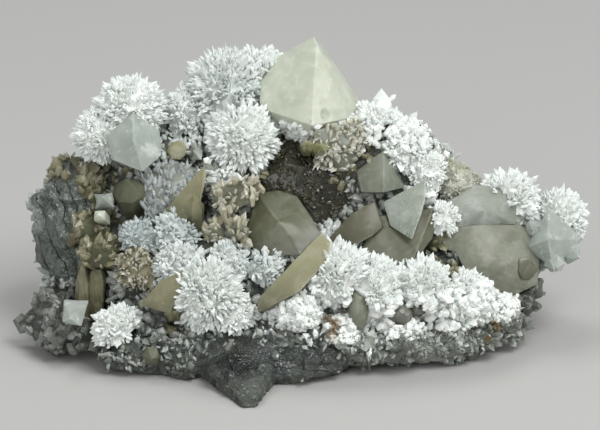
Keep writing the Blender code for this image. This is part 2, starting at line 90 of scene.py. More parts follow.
def mixColours(tree, share, first, second):
    return addNode(tree, "ShaderNodeMix", {0: share, 6: first, 7: second}, data_type="RGBA").outputs[2]


def placeOf(tree):
    return addNode(tree, "ShaderNodeTexCoord").outputs["Object"]


def attributeOf(tree, name):
    return addNode(tree, "ShaderNodeAttribute", attribute_name=name).outputs["Fac"]


def newGroup(name, inputs, *outputs):  # a shader group, its inputs with their values, its outputs
    group = bpy.data.node_groups.new(name, "ShaderNodeTree")
    for label, value in inputs.items():
        kind = "NodeSocketVector" if isinstance(value, tuple) else "NodeSocketFloat"
        group.interface.new_socket(label, in_out="INPUT", socket_type=kind).default_value = value
    for label in outputs:
        group.interface.new_socket(label, in_out="OUTPUT", socket_type="NodeSocketFloat")
    entry = group.nodes.new("NodeGroupInput")
    result = group.nodes.new("NodeGroupOutput")
    return group, entry.outputs, result.inputs


def effect(tree, group, inputs):
    return addNode(tree, "ShaderNodeGroup", inputs, node_tree=group).outputs


# effects that several materials share
def makeMottle():  # clouds of a second colour or finish, from broad to fine
    group, given, result = newGroup("mottle", {"Scale": 300.0, "Low": 0.4, "High": 0.65, "Twist": 0.3},
                                    "Mask")
    cloud = addNode(group, "ShaderNodeTexNoise", {"Vector": placeOf(group), "Scale": given["Scale"],
                    "Detail": 5.0, "Roughness": 0.62, "Distortion": given["Twist"]}).outputs[0]
    group.links.new(rangeNode(group, cloud, given["Low"], given["High"]), result["Mask"])
    return group


def makeGrowthLines():  # fine ridges across the way a crystal grew, which runs along Rise
    group, given, result = newGroup("growthLines", {"Rise": 0.0, "Lines per mm": 1.5, "Waver": 0.4},
                                    "Height", "Mask")
    bend = addNode(group, "ShaderNodeTexNoise", {"Vector": placeOf(group), "Scale": 160.0,
                   "Detail": 2.0}).outputs[0]
    shifted = mathNode(group, "ADD", given["Rise"], times(group, bend, given["Waver"]))
    turns = times(group, times(group, shifted, given["Lines per mm"]), 6.283)  # one turn in radians
    wave = mathNode(group, "SINE", turns)
    second = mathNode(group, "SINE", times(group, turns, 2.73))
    both = mathNode(group, "ADD", times(group, wave, 0.6), times(group, second, 0.4))
    group.links.new(rangeNode(group, both, -0.9, 0.9), result["Height"])
    group.links.new(rangeNode(group, both, 0.45, 0.95), result["Mask"])
    return group


def makeEtchPits():  # etched pits, which only some of the cells have
    group, given, result = newGroup("etchPits", {"Scale": 900.0, "Width": 0.4}, "Height")
    cells = addNode(group, "ShaderNodeTexVoronoi", {"Vector": placeOf(group), "Scale": given["Scale"]})
    pit = rangeNode(group, cells.outputs["Distance"], 0.0, given["Width"])
    chance = addNode(group, "ShaderNodeSeparateColor", {0: cells.outputs["Color"]}).outputs[0]
    flat = mathNode(group, "SUBTRACT", 1.0, rangeNode(group, chance, 0.45, 0.75))
    group.links.new(mathNode(group, "MAXIMUM", pit, flat), result["Height"])
    return group


def makePatch():  # a patch with a ragged edge round one place
    group, given, result = newGroup("patch", {"Centre": (0, 0, 0), "Radius": 0.004, "Ragged": 0.5}, "Mask")
    place = placeOf(group)
    far = addNode(group, "ShaderNodeVectorMath", {0: place, 1: given["Centre"]},
                  operation="DISTANCE").outputs["Value"]
    share = mathNode(group, "DIVIDE", far, given["Radius"])
    rag = addNode(group, "ShaderNodeTexNoise", {"Vector": place, "Scale": 420.0, "Detail": 4.0,
                  "Roughness": 0.7}).outputs[0]
    push = times(group, mathNode(group, "SUBTRACT", rag, 0.5), given["Ragged"])
    pushed = mathNode(group, "ADD", share, push)
    group.links.new(rangeNode(group, pushed, 0.55, 1.0, 1.0, 0.0), result["Mask"])
    return group


def makeGrain():  # tiny crystal grains: a rough height, and a few grains that catch the light
    group, given, result = newGroup("grain", {"Scale": 1600.0, "Share": 0.1}, "Height", "Glint")
    cells = addNode(group, "ShaderNodeTexVoronoi", {"Vector": placeOf(group), "Scale": given["Scale"]})
    lit = addNode(group, "ShaderNodeSeparateColor", {0: cells.outputs["Color"]}).outputs[1]
    edge = mathNode(group, "SUBTRACT", 1.0, given["Share"])
    group.links.new(cells.outputs["Distance"], result["Height"])
    group.links.new(mathNode(group, "GREATER_THAN", lit, edge), result["Glint"])
    return group


mottle, growthLines, etchPits = makeMottle(), makeGrowthLines(), makeEtchPits()
patch, grain = makePatch(), makeGrain()


def cloudMask(tree, scale, low, high, twist=0.3):
    return effect(tree, mottle, {"Scale": scale, "Low": low, "High": high, "Twist": twist})["Mask"]


def patchMask(tree, centre, radius, ragged):  # centre and radius in layout millimetres
    return effect(tree, patch, {"Centre": layout(centre), "Radius": radius * mm, "Ragged": ragged})["Mask"]


def newMaterial(name):
    material = bpy.data.materials.new(name)
    material.use_nodes = True
    tree = material.node_tree
    return material, tree, tree.nodes["Principled BSDF"]


def setShader(tree, shader, values):
    for name, value in values.items():
        feed(tree, shader.inputs[name], value)


def addBump(tree, shader, height, strength, distance):
    bump = addNode(tree, "ShaderNodeBump", {"Height": height, "Strength": strength, "Distance": distance})
    tree.links.new(bump.outputs[0], shader.inputs["Normal"])


def rgb(red, green, blue):  # a colour as seen, 0 to 255, made linear
    return tuple(((c / 255 + 0.055) / 1.055) ** 2.4 if c > 10 else c / 255 / 12.92
                 for c in (red, green, blue)) + (1.0,)


print("stage: effects ready")

# spray material: frosty white hearts, clearer tips; the white deep between the blades is partly painted glow,
# standing in for light that spreads through the spray
def sprayLook(heart, tip, shade, transmission, roughness):
    return {"heart": rgb(*heart), "tip": rgb(*tip), "shade": rgb(*shade), "transmission": transmission,
            "roughness": roughness}


sprayLooks = {
    "sprayWhite": sprayLook((250, 252, 249), (232, 240, 236), (236, 242, 236), 0.1, 0.24),
    "sprayYellow": sprayLook((197, 200, 190), (190, 193, 180), (165, 164, 119), 0.15, 0.26),
    "sprayTan": sprayLook((178, 173, 148), (220, 221, 208), (142, 135, 106), 0.25, 0.26),
    "lumpWhite": sprayLook((139, 144, 136), (166, 172, 166), (82, 87, 77), 0.4, 0.18),
    "combIce": sprayLook((201, 209, 207), (210, 216, 215), (174, 184, 182), 0.25, 0.2),
    "druseTan": sprayLook((219, 215, 189), (224, 222, 210), (175, 167, 138), 0.35, 0.2),
    "drusePale": sprayLook((238, 237, 216), (252, 252, 250), (204, 200, 171), 0.3, 0.2),
    "druseGrey": sprayLook((196, 202, 194), (220, 226, 219), (152, 157, 143), 0.35, 0.18),
    "druseOlive": sprayLook((142, 138, 106), (178, 175, 148), (98, 93, 68), 0.35, 0.22),
    "druseGreen": sprayLook((133, 139, 129), (165, 170, 164), (81, 87, 77), 0.4, 0.16),
    "grainDark": sprayLook((79, 78, 59), (106, 105, 85), (50, 49, 35), 0.4, 0.16),
    "plateDark": sprayLook((74, 80, 76), (136, 142, 138), (38, 43, 40), 0.0, 0.2),
}
# rust stains on the crust, in layout millimetres, and how far they reach
rustLook = {"tint": rgb(116, 92, 48), "most": 0.85, "on": ("sprayWhite", "druseGreen", "druseGrey"),
            "spots": [((9.0, -24.6, 13.8), 2.0), ((5.7, -27.7, 12.6), 1.8), ((7.1, -30.0, 11.8), 1.6),
                      ((6.3, -31.0, 10.4), 1.7), ((40.0, -19.7, 7.8), 1.9), ((38.9, -21.9, 5.8), 1.5)]}
iceTint = rgb(198, 208, 206)
# grey-olive specks low on a spray: their colour, their scale, and over how many mm they fade in
lowSpeckLook = {"tint": rgb(112, 115, 101), "scale": 300.0, "rise": 4.0}


def makeSprayMaterial(name, look):
    material, tree, shader = newMaterial(name)
    tone = attributeOf(tree, "tone")
    clouds = cloudMask(tree, 130.0, 0.38, 0.62)
    fine = effect(tree, grain, {"Scale": 2600.0, "Share": 0.08})
    toned = mathNode(tree, "MAXIMUM", times(tree, clouds, tone), times(tree, tone, 0.4))
    shaded = mixColours(tree, toned, look["heart"], look["shade"])
    # painted glow, in part: near the hearts and blade feet the colour stays whiter, lightening the shade
    # between the blades
    outward = rangeNode(tree, attributeOf(tree, "reach"), 0.6, 1.0)
    colour = mixColours(tree, outward, shaded, look["tip"])
    if name == "sprayWhite":
        icy = times(tree, attributeOf(tree, "ice"), rangeNode(tree, clouds, 0.0, 1.0, 0.5, 1.0))
        colour = mixColours(tree, icy, colour, iceTint)
        # grey-olive specks on the low part of the spray, more of them towards the bottom
        specks = cloudMask(tree, lowSpeckLook["scale"], 0.38, 0.55)
        colour = mixColours(tree, times(tree, attributeOf(tree, "lowSpecks"), specks), colour, lowSpeckLook["tint"])
    for centre, radius in rustLook["spots"] if name in rustLook["on"] else ():
        rusty = times(tree, patchMask(tree, centre, radius, 1.8), rustLook["most"])
        colour = mixColours(tree, rusty, colour, rustLook["tint"])
    rough = mathNode(tree, "ADD", times(tree, clouds, 0.12), look["roughness"])
    glossed = mathNode(tree, "SUBTRACT", 1.0, times(tree, fine["Glint"], 0.8))
    addBump(tree, shader, fine["Height"], strength=0.25, distance=0.0002)
    setShader(tree, shader, {"Base Color": colour, "Roughness": times(tree, rough, glossed),
                             "Transmission Weight": look["transmission"], "IOR": 1.53})
    return material


# crystal material: a tinted, partly frosted, see-through body; density: how fast light fades inside,
# per metre; lines: growth lines per mm; pits: how fine the etched pits are; the foot is the low end
crystalBase = {"roughness": 0.26, "transmission": 0.45, "density": 50.0, "lines": 0.9, "lineStrength": 0.05,
               "pits": 500.0, "pitStrength": 0.1, "frostShare": 0.5, "footShade": 0.35, "footFrost": 0.0,
               "footDark": 0.35}


def crystalLook(body, cloud, frost, absorb, **own):  # own values take the place of those of the base
    return {**crystalBase, "body": rgb(*body), "cloud": rgb(*cloud), "frost": rgb(*frost),
            "absorb": absorb + (1,), **own}


crystalLooks = {
    "creamFrost": crystalLook((211, 216, 198), (191, 199, 179), (239, 242, 235), (0.9, 0.92, 0.8),
        roughness=0.4, transmission=0.2, density=40.0, lines=0.5, lineStrength=0.03, pits=700.0,
        frostShare=0.45, footShade=0.0, footFrost=0.85),
    "oliveFrost": crystalLook((143, 147, 129), (120, 124, 104), (184, 187, 175), (0.86, 0.88, 0.74),
        roughness=0.42, transmission=0.3, lineStrength=0.08, pits=700.0, pitStrength=0.08),
    "paleFrost": crystalLook((171, 177, 166), (154, 160, 146), (216, 220, 214), (0.9, 0.92, 0.84),
        roughness=0.36, transmission=0.3, density=40.0, lines=1.2, lineStrength=0.1, pits=600.0),
    "milkGlass": crystalLook((182, 193, 184), (207, 212, 208), (235, 238, 234), (0.9, 0.94, 0.9),
        roughness=0.16, transmission=0.4, density=25.0, lines=0.6, footShade=0.0),
    "clearGlass": crystalLook((196, 204, 192), (169, 180, 164), (225, 229, 225), (0.84, 0.9, 0.84),
        density=30.0, lines=0.6, lineStrength=0.08, frostShare=0.55, footShade=0.15),
    "deepOlive": crystalLook((116, 115, 89), (89, 87, 65), (166, 166, 144), (0.7, 0.7, 0.52),
        roughness=0.42, density=70.0, lines=0.8, pits=600.0, pitStrength=0.14, frostShare=0.35),
    "oliveGlass": crystalLook((133, 136, 109), (106, 108, 82), (178, 180, 158), (0.78, 0.79, 0.6),
        roughness=0.36, transmission=0.5, density=70.0, lines=0.8, pitStrength=0.12, frostShare=0.3),
    "tanGlass": crystalLook((164, 162, 128), (142, 139, 107), (194, 193, 166), (0.78, 0.76, 0.62),
        roughness=0.4, transmission=0.3, density=70.0, lines=1.1, lineStrength=0.03, pits=600.0,
        frostShare=0.35, footShade=0.85),
    "fibreTan": crystalLook((146, 143, 112), (112, 109, 80), (190, 188, 163), (0.78, 0.76, 0.62),
        roughness=0.4, transmission=0.2, density=70.0, lines=1.4, lineStrength=0.4, pits=600.0,
        pitStrength=0.2, footShade=0.3),
    "smokeGlass": crystalLook((122, 122, 113), (98, 98, 90), (160, 161, 152), (0.7, 0.7, 0.66),
        transmission=0.15, density=40.0, pits=420.0, pitStrength=0.12, frostShare=0.3, footShade=0.1),
    "lumpGlass": crystalLook((107, 111, 101), (71, 75, 65), (180, 186, 177), (0.78, 0.81, 0.75),
        roughness=0.2, lineStrength=0.06, pitStrength=0.2, frostShare=0.6),
    "greyGlass": crystalLook((172, 178, 163), (142, 148, 130), (216, 221, 210), (0.78, 0.81, 0.75),
        roughness=0.28, lineStrength=0.06, pitStrength=0.12, frostShare=0.4),
    "darkGlass": crystalLook((80, 78, 59), (51, 50, 35), (122, 122, 100), (0.6, 0.6, 0.44),
        roughness=0.2, transmission=0.5, density=90.0, lines=0.8, lineStrength=0.08, pits=420.0,
        pitStrength=0.2, frostShare=0.3),
    "yellowFrost": crystalLook((174, 173, 136), (151, 150, 109), (215, 214, 192), (0.88, 0.85, 0.6),
        transmission=0.35, lineStrength=0.06, pitStrength=0.15),
}
# light that spreads inside a frosted crystal: share, and how far in metres; the clear skin over
# the frost, and how rough that skin is
scatterLook = {"share": 0.45, "reach": (1.0, 1.0, 0.8), "scale": 0.0025, "skin": 0.1, "skinRough": 0.2}


def frostMask(tree, look, lines, height):  # how frosted the skin is: in clouds, on edges, lines and foot; on the edges it is partly painted highlight, the pale bright lines that ridges catch
    clouds = cloudMask(tree, 420.0, 0.45, 0.75)
    frosted = times(tree, clouds, look["frostShare"])
    # whiter edges: partly frost the crystal has, partly painted highlight along the ridges
    edges = times(tree, attributeOf(tree, "edge"), times(tree, clouds, 0.45))
    frosted = mathNode(tree, "MAXIMUM", frosted, edges)
    frosted = mathNode(tree, "MAXIMUM", frosted, times(tree, lines["Mask"], look["lineStrength"]))
    foot = rangeNode(tree, height, 0.1, 0.45, look["footFrost"], 0.0)
    foot = mathNode(tree, "MULTIPLY", mathNode(tree, "ADD", clouds, 0.4), foot, clamp=True)
    return mathNode(tree, "MAXIMUM", frosted, foot)


def makeCrystalMaterial(name, look):
    material, tree, shader = newMaterial(name)
    height = attributeOf(tree, "height")
    lines = effect(tree, growthLines, {"Rise": attributeOf(tree, "rise"), "Lines per mm": look["lines"]})
    pits = effect(tree, etchPits, {"Scale": look["pits"], "Width": 0.5})
    frosted = frostMask(tree, look, lines, height)
    colour = mixColours(tree, cloudMask(tree, 110.0, 0.36, 0.66, 0.8), look["body"], look["cloud"])
    foot = rangeNode(tree, height, 0.0, 0.75, look["footShade"], 0.0)
    deep = tuple(channel * crystalBase["footDark"] for channel in look["cloud"][:3]) + (1,)
    colour = mixColours(tree, foot, colour, deep)
    # painted shade: the worn hollows take the darker cloud colour
    colour = mixColours(tree, attributeOf(tree, "hollowShade"), colour, look["cloud"])
    colour = mixColours(tree, frosted, colour, look["frost"])
    rough = mathNode(tree, "ADD", times(tree, frosted, 0.35), look["roughness"], clamp=True)
    relief = mathNode(tree, "ADD", times(tree, lines["Height"], look["lineStrength"]),
                      times(tree, pits["Height"], look["pitStrength"]))
    addBump(tree, shader, relief, strength=0.6, distance=0.0003)
    setShader(tree, shader, {
        "Base Color": colour, "Roughness": rough, "Transmission Weight": look["transmission"], "IOR": 1.56,
        "Specular IOR Level": 0.4, "Subsurface Weight": scatterLook["share"],
        "Subsurface Radius": scatterLook["reach"], "Subsurface Scale": scatterLook["scale"],
        "Coat Weight": scatterLook["skin"], "Coat Roughness": scatterLook["skinRough"]})
    volume = addNode(tree, "ShaderNodeVolumeAbsorption", {"Color": look["absorb"],
                     "Density": look["density"]})
    tree.links.new(volume.outputs[0], tree.nodes["Material Output"].inputs["Volume"])
    return material


# rock material: dark grey green, with pale crust, brown stains and glinting grains
rockLook = {"dark": rgb(40, 45, 41), "mid": rgb(78, 83, 75), "crust": rgb(160, 166, 155),
            "stain": rgb(146, 118, 80), "roughness": 0.6,
            "crusts": [((0, -24, 10), 9), ((14, -22, 8), 11), ((28, -19, 6), 11), ((38, -14, 4), 9),
                       ((-24, -22, 8), 7)],
            "stains": [((8.4, -27, 12), 2.6), ((5.5, -27, 10), 2.4), ((36, -18, 9), 2.6)]}
# glassy or sheared parts of the rock, and a dark shard: middle and reach in layout millimetres, the way
# across their streaks, streaks per millimetre, their two colours and how deep the ridges are
streakedParts = [
    {"at": (-50, -6, 24), "reach": 15, "slope": (0.93, 0.15, 0.34), "lines": 0.4, "deep": 0.8,
     "pale": rgb(98, 105, 99), "streak": rgb(28, 32, 30)},
    {"at": (-58, -6, 25), "reach": 6, "slope": (0.93, 0.15, 0.34), "lines": 0.8, "deep": 0.3,
     "pale": rgb(158, 166, 160), "streak": rgb(104, 111, 105)},
    # the shard low at the front: its near-black colours are painted shade, the dark it sits in under the
    # specimen
    {"at": (-12.5, -34, 2.5), "reach": 6.5, "slope": (0.75, 0.1, 0.6), "lines": 0.5, "deep": 0.5,
     "pale": rgb(38, 42, 40), "streak": rgb(14, 16, 15)},
    {"at": (-5, -31, 5), "reach": 6.0, "slope": (0.12, 0.3, 0.95), "lines": 0.7, "deep": 0.6,
     "pale": rgb(70, 75, 72), "streak": rgb(24, 27, 26)},
    {"at": (4, -31, 5.5), "reach": 6.0, "slope": (0.12, 0.3, 0.95), "lines": 0.7, "deep": 0.6,
     "pale": rgb(70, 75, 72), "streak": rgb(24, 27, 26)},
]


def addStreaks(tree, colour):  # the colour with the streaked parts laid on, and a mask of those parts
    place = placeOf(tree)
    covered = 0.0
    for part in streakedParts:
        slope = Vector(part["slope"]).normalized() / mm
        rise = addNode(tree, "ShaderNodeVectorMath", {0: place, 1: slope},
                       operation="DOT_PRODUCT").outputs["Value"]
        streaks = effect(tree, growthLines, {"Rise": rise, "Lines per mm": part["lines"], "Waver": 4.0})
        mask = patchMask(tree, part["at"], part["reach"], 0.5)
        glassy = mixColours(tree, streaks["Mask"], part["pale"], part["streak"])
        colour = mixColours(tree, times(tree, mask, 0.95), colour, glassy)
        covered = mathNode(tree, "MAXIMUM", mask, covered)
    return colour, covered


def makeRockMaterial(name, look):
    material, tree, shader = newMaterial(name)
    flecks = cloudMask(tree, 700.0, 0.52, 0.66)
    fine = effect(tree, grain, {"Scale": 1500.0, "Share": 0.12})
    colour = mixColours(tree, cloudMask(tree, 95.0, 0.35, 0.62, 1.2), look["dark"], look["mid"])
    colour = mixColours(tree, times(tree, flecks, 0.55), colour, look["crust"])
    for places, tint, most in ((look["crusts"], look["crust"], 0.85), (look["stains"], look["stain"], 0.8)):
        for centre, radius in places:
            mask = patchMask(tree, centre, radius, 1.4)
            colour = mixColours(tree, times(tree, mask, most), colour, tint)
    colour, covered = addStreaks(tree, colour)
    rough = mathNode(tree, "SUBTRACT", look["roughness"], times(tree, fine["Glint"], 0.45))
    rough = mathNode(tree, "SUBTRACT", rough, times(tree, covered, 0.38), clamp=True)
    height = mathNode(tree, "ADD", times(tree, fine["Height"], 0.6), flecks)
    addBump(tree, shader, height, strength=0.8, distance=0.0005)
    setShader(tree, shader, {"Base Color": colour, "Roughness": rough, "IOR": 1.52})
    return material


materials = {name: makeSprayMaterial(name, look) for name, look in sprayLooks.items()}
materials.update({name: makeCrystalMaterial(name, look) for name, look in crystalLooks.items()})
materials["rock"] = makeRockMaterial("rock", rockLook)
print("stage: materials ready")


# mesh helpers
weld = 0.002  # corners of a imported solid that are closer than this, in mm, are one


def facetsOf(node):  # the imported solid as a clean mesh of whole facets
    shape = bmesh.new()
    shape.from_mesh(node.data)
    bmesh.ops.remove_doubles(shape, verts=shape.verts, dist=weld * mm)
    return shape


def treeOf(node):
    shape = facetsOf(node)
    tree = BVHTree.FromBMesh(shape)
    shape.free()
    return tree


def placeObject(name, data):
    placed = bpy.data.objects.new(name, data)
    bpy.context.scene.collection.objects.link(placed)
    return placed


def makePiece(name, mesh, material, nodeNames, slotName):
    piece = placeObject(name, mesh)
    mesh.materials.append(materials[material])
    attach(piece, "root")
    if nodeNames:
        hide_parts(*nodeNames)


def setAttribute(mesh, name, values):
    attribute = mesh.attributes.new(name, "FLOAT", "POINT")
    attribute.data.foreach_set("value", np.asarray(values, np.float32))


def splitLong(shape, length, rounds=7, most=30000):  # cuts edges until none is longer
    for _ in range(rounds):
        wide = [edge for edge in shape.edges if edge.calc_length() > length]
        if not wide or len(shape.faces) > most:
            break
        bmesh.ops.subdivide_edges(shape, edges=wide, cuts=1)
        bmesh.ops.triangulate(shape, faces=[face for face in shape.faces if len(face.verts) > 3])


# sprays: blades that grow out of one or more hearts, each a centre and a radius in layout mm. Spikes:
# foot, tip and width of extra blades. Icy: how blue-grey a heart is. Slim: hearts with a thin core
# only. Crusted: hearts with short blades only. Lowest: how far down blades point. SpecksBelow: below
# what height the spray takes grey-olive specks, more of them towards the bottom
sprays = {
    "crown_spray": {"hearts": [((-15, 7, 49), 9.4), ((-7.5, 8, 52.2), 6.6), ((-23.5, 4.5, 45.5), 5.8),
                               ((-11.8, -4, 42.6), 7.6)], "icy": {0: 0.3, 2: 0.4}},
    "left_spray": {"hearts": [((-35.2, 0, 47.8), 7.4), ((-41.0, -2, 43.0), 5.8)]},
    "crest_spray": {"hearts": [((15.2, 2, 42.4), 6.4), ((21, 0, 39.2), 6.3), ((26.2, -3, 35.4), 4.6),
                               ((17.2, 4, 47.4), 3.4), ((26.6, -6.5, 30.5), 2.9)],
                    "spikes": [((17, 3.4, 42), (16.9, 3.6, 51.4), 3.2), ((15, 3, 42), (13, 2.6, 48.6), 2.4),
                               ((18.5, 3, 42), (20.2, 3.4, 47.6), 2.6),
                               ((17.4, 2, 42), (17.8, 0.4, 47.4), 2.2)],
                    "slim": (3,)},
    "yellow_lump": {"hearts": [((31.6, 1, 31.8), 5.0), ((35.4, 1, 30.4), 3.6)], "look": "sprayYellow",
                    "slot": "crystal_yellow", "crusted": (0, 1)},
    "dome_spray": {"hearts": [((43.2, 0, 27.4), 7.0), ((38.4, -1, 27.0), 4.0)]},
    "tip_spray": {"hearts": [((54.6, 3, 22.8), 6.2)],
                  "spikes": [((54, 3, 24), (55.4, 3, 31.0), 2.2), ((54.5, 2, 23), (60.4, 2, 24.6), 2.2),
                             ((54.5, 2, 22), (59.8, 0, 20.6), 1.9), ((53, 2, 24), (51.4, 2, 30), 1.8),
                             ((54.5, 2, 23), (58.6, 1, 28.4), 1.9)]},
    "ball_spray": {"hearts": [((29.2, -9, 27.2), 4.1)]},
    "heart_spray": {"hearts": [((-18.6, -23, 16.0), 8.4), ((-24.4, -19.5, 20.4), 5.6),
                               ((-14.4, -20, 21.0), 5.2), ((-7.0, -18.5, 19.6), 5.6),
                               ((-13.0, -25.0, 12.6), 5.0)], "icy": {1: 0.6, 2: 0.5, 3: 0.7}},
    "fan_spray": {"hearts": [((-25.2, -13, 25.0), 6.0), ((-32.6, -13, 24.2), 4.6)],
                  "icy": {0: 1.0, 1: 1.0}},
    "brown_cluster": {"hearts": [((-33.2, -18.5, 19.8), 4.6), ((-29.8, -19, 17.6), 3.4)],
                      "look": "sprayTan", "slot": "crystal_tan"},
    "floor_spray": {"hearts": [((-37.1, -23.5, 8.4), 5.4)], "lowest": -0.5},
    "crust_spray": {"hearts": [((0.0, -25, 12.6), 6.4), ((7.2, -22, 19.0), 7.8), ((15.3, -22, 15.6), 7.6),
                               ((24.5, -20, 15.4), 7.4), ((33.2, -18, 12.4), 7.0), ((40.2, -14.5, 8.0), 5.6),
                               ((8.0, -26, 7.6), 6.2), ((20.0, -24, 7.6), 6.0), ((30.5, -20.5, 6.2), 5.6)],
                    "lowest": -0.15, "crusted": (6, 7, 8), "specksBelow": 13.0},
    "back_spray": {"hearts": [((-13, 17, 40), 8.0), ((-24, 13, 38), 6.4)]},
    "crest_back_spray": {"hearts": [((21, 12, 34), 6.6), ((31, 11, 27), 5.2)]},
    "low_back_spray": {"hearts": [((16, 23.5, 19), 6.4), ((6, 24, 16), 5.0)]},
}
# places kept free of blades and crumbs, so that the grey lenses in the crust show
openPlaces = [((21.7, -28.4, 13.5), 2.4), ((11.7, -29.4, 15.4), 1.8)]


def inOpenPlace(point):
    return any((Vector(point) - layout(centre)).length < reach * mm for centre, reach in openPlaces)


# tiers of blades: how many per square mm, tip as a share of the heart's radius, width in mm
bladeTiers = [
    {"density": 0.2, "tip": (1.02, 1.14), "width": (1.4, 2.2), "thick": 0.45, "foot": 0.5, "sides": 6},
    {"density": 1.5, "tip": (0.98, 1.025), "width": (0.75, 1.2), "thick": 0.6, "foot": 0.7, "sides": 5},
]
mainBlade = {"width": (1.3, 2.0), "thick": 0.5, "foot": 0.4, "sides": 6, "fullWidthAt": 6.0}
# where along a blade it is widest, how thick its foot is, how uneven its sides are
bladeShape = {"shoulder": (0.58, 0.78), "footSize": 0.5, "jitter": (0.8, 1.12)}
# blades stand in tufts this far apart in mm, lean together, and are longest in the middle of one;
# rooted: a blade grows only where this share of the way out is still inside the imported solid;
# clear: and only if its tip is outside this share of every other heart
tuft = {"apart": 3.4, "gather": 0.2, "fall": 0.06, "fallFrom": 0.35, "uneven": 0.06, "lean": 0.04,
        "rooted": 0.72, "clear": 0.9}
bridge = {"within": 1.1, "size": 0.92}  # a smaller heart fills the groove between two near ones
# the core: its radius and roughness as shares of the heart's, less for slim hearts, the longest edge
# in mm, and the share of the radius within which its points stay where they are
coreShape = {"share": 0.96, "rough": 0.04, "slim": 0.6, "edge": 0.9, "still": 0.55, "mostFaces": 100000}
spike = {"far": 0.88, "ahead": 0.03}  # how far out a corner is, and past its neighbours, to be a spike


def spread(count, draw, disorder=0.45):  # evenly spread directions, a little out of order
    order = np.arange(count) + 0.5
    height = 1 - 2 * order / count
    turn = order * math.pi * (3 - math.sqrt(5)) + draw.random() * 6.28
    ring = np.sqrt(1 - height ** 2)
    points = np.stack([ring * np.cos(turn), ring * np.sin(turn), height], axis=1)
    points += draw.normal(0, disorder / math.sqrt(count), points.shape)
    return points / np.linalg.norm(points, axis=1, keepdims=True)


def bladeMesh(feet, tips, widths, thicks, sides, draw, asides=None):
    # vertices, faces, reach and tone of blades that widen from foot to shoulder and end in a point
    feet, tips, widths, thicks = (np.array(values) for values in (feet, tips, widths, thicks))
    count = len(feet)
    axis = tips - feet
    length = np.linalg.norm(axis, axis=1, keepdims=True)
    axis = axis / length
    aside = np.cross(axis, draw.normal(0, 1, (count, 3)) if asides is None else asides)
    aside /= np.linalg.norm(aside, axis=1, keepdims=True)
    across = np.cross(axis, aside)
    shoulder = draw.uniform(*bladeShape["shoulder"], (count, 1))
    blocks, reach = [], []
    for along, size in ((0.0, bladeShape["footSize"]), (1.0, 1.0)):
        middle = feet + axis * length * shoulder * along
        for side in range(sides):
            angle = 2 * math.pi * side / sides
            jitter = draw.uniform(*bladeShape["jitter"], (count, 1))
            blocks.append(middle + (aside * math.cos(angle) * widths[:, None] * 0.5
                                    + across * math.sin(angle) * thicks[:, None] * 0.5) * size * jitter)
            reach.append(shoulder[:, 0] * along)
    blocks.append(tips)
    reach.append(np.ones(count))
    each = len(blocks)
    verts = np.stack(blocks, axis=1).reshape(-1, 3)
    reach = np.stack(reach, axis=1).reshape(-1)
    tone = np.repeat(draw.random(count), each)
    faces = [(side, (side + 1) % sides, sides + (side + 1) % sides, sides + side) for side in range(sides)]
    faces += [(sides + side, sides + (side + 1) % sides, 2 * sides) for side in range(sides)]
    faces += [tuple(reversed(range(sides)))]
    allFaces = [tuple(blade * each + corner for corner in face) for blade in range(count) for face in faces]
    return verts, allFaces, reach, tone


def meshOf(name, parts):  # one mesh of several (vertices, faces, reach, tone)
    starts = np.cumsum([0] + [len(part[0]) for part in parts])
    mesh = bpy.data.meshes.new(name)
    mesh.from_pydata(np.concatenate([part[0] for part in parts]).tolist(), [],
                     [tuple(int(start) + corner for corner in face)
                      for start, part in zip(starts, parts) for face in part[1]])
    setAttribute(mesh, "reach", np.concatenate([part[2] for part in parts]))
    setAttribute(mesh, "tone", np.concatenate([part[3] for part in parts]))
    return mesh


def isInside(tree, point):  # whether a point is in a closed solid: an odd number of walls above it
    walls, mostWalls = 0, 30
    spot = Vector(point)
    up = Vector((0.0137, 0.0071, 1.0)).normalized()  # a little aslant, so that it meets no edge head on
    while walls < mostWalls:
        hit = tree.ray_cast(spot, up)[0]
        if hit is None:
            break
        walls += 1
        spot = hit + up * 1e-6
    return walls % 2 == 1


def withBridges(hearts):
    found = list(hearts)
    for order, (first, one) in enumerate(hearts):
        for second, other in hearts[order + 1:]:
            if (first - second).length < bridge["within"] * (one + other):
                share = one / (one + other)
                found.append((first.lerp(second, share), bridge["size"] * min(one, other)))
    return found


def nearestHeart(point, hearts):
    return min(hearts, key=lambda heart: (point - heart[0]).length / heart[1])


def coreOf(node, hearts, slim):  # the body under the blades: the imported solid, its spikes pulled in
    shape = facetsOf(node)
    bmesh.ops.triangulate(shape, faces=shape.faces)
    splitLong(shape, coreShape["edge"] * mm, rounds=5, most=coreShape["mostFaces"])
    for vertex in shape.verts:
        centre, radius = nearestHeart(vertex.co, hearts)
        far = (vertex.co - centre).length
        rough = coreShape["share"] + coreShape["rough"] * noise.noise(vertex.co * 1500) * 2
        if (centre, radius) in slim:
            rough *= coreShape["slim"]
        if far > coreShape["still"] * radius:
            vertex.co = centre + (vertex.co - centre) * (radius * rough / far if far > rough * radius
                                                         else 1.0)
    for _ in range(2):
        bmesh.ops.smooth_vert(shape, verts=shape.verts, factor=0.4, use_axis_x=True, use_axis_y=True,
                              use_axis_z=True)
    verts = np.array([vertex.co for vertex in shape.verts])
    shape.verts.index_update()
    faces = [tuple(vertex.index for vertex in face.verts) for face in shape.faces]
    shape.free()
    return verts, faces


def spikeTips(node, hearts, lowest):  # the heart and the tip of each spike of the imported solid
    shape = facetsOf(node)
    found = []
    for vertex in shape.verts:
        centre, radius = nearestHeart(vertex.co, hearts)
        far = (vertex.co - centre).length
        others = [(edge.other_vert(vertex).co - centre).length for edge in vertex.link_edges]
        low = vertex.co.z - centre.z < lowest * far
        if far > spike["far"] * radius and max(others) < far - spike["ahead"] * radius and not low:
            found.append((centre, vertex.co.copy()))
    shape.free()
    return found


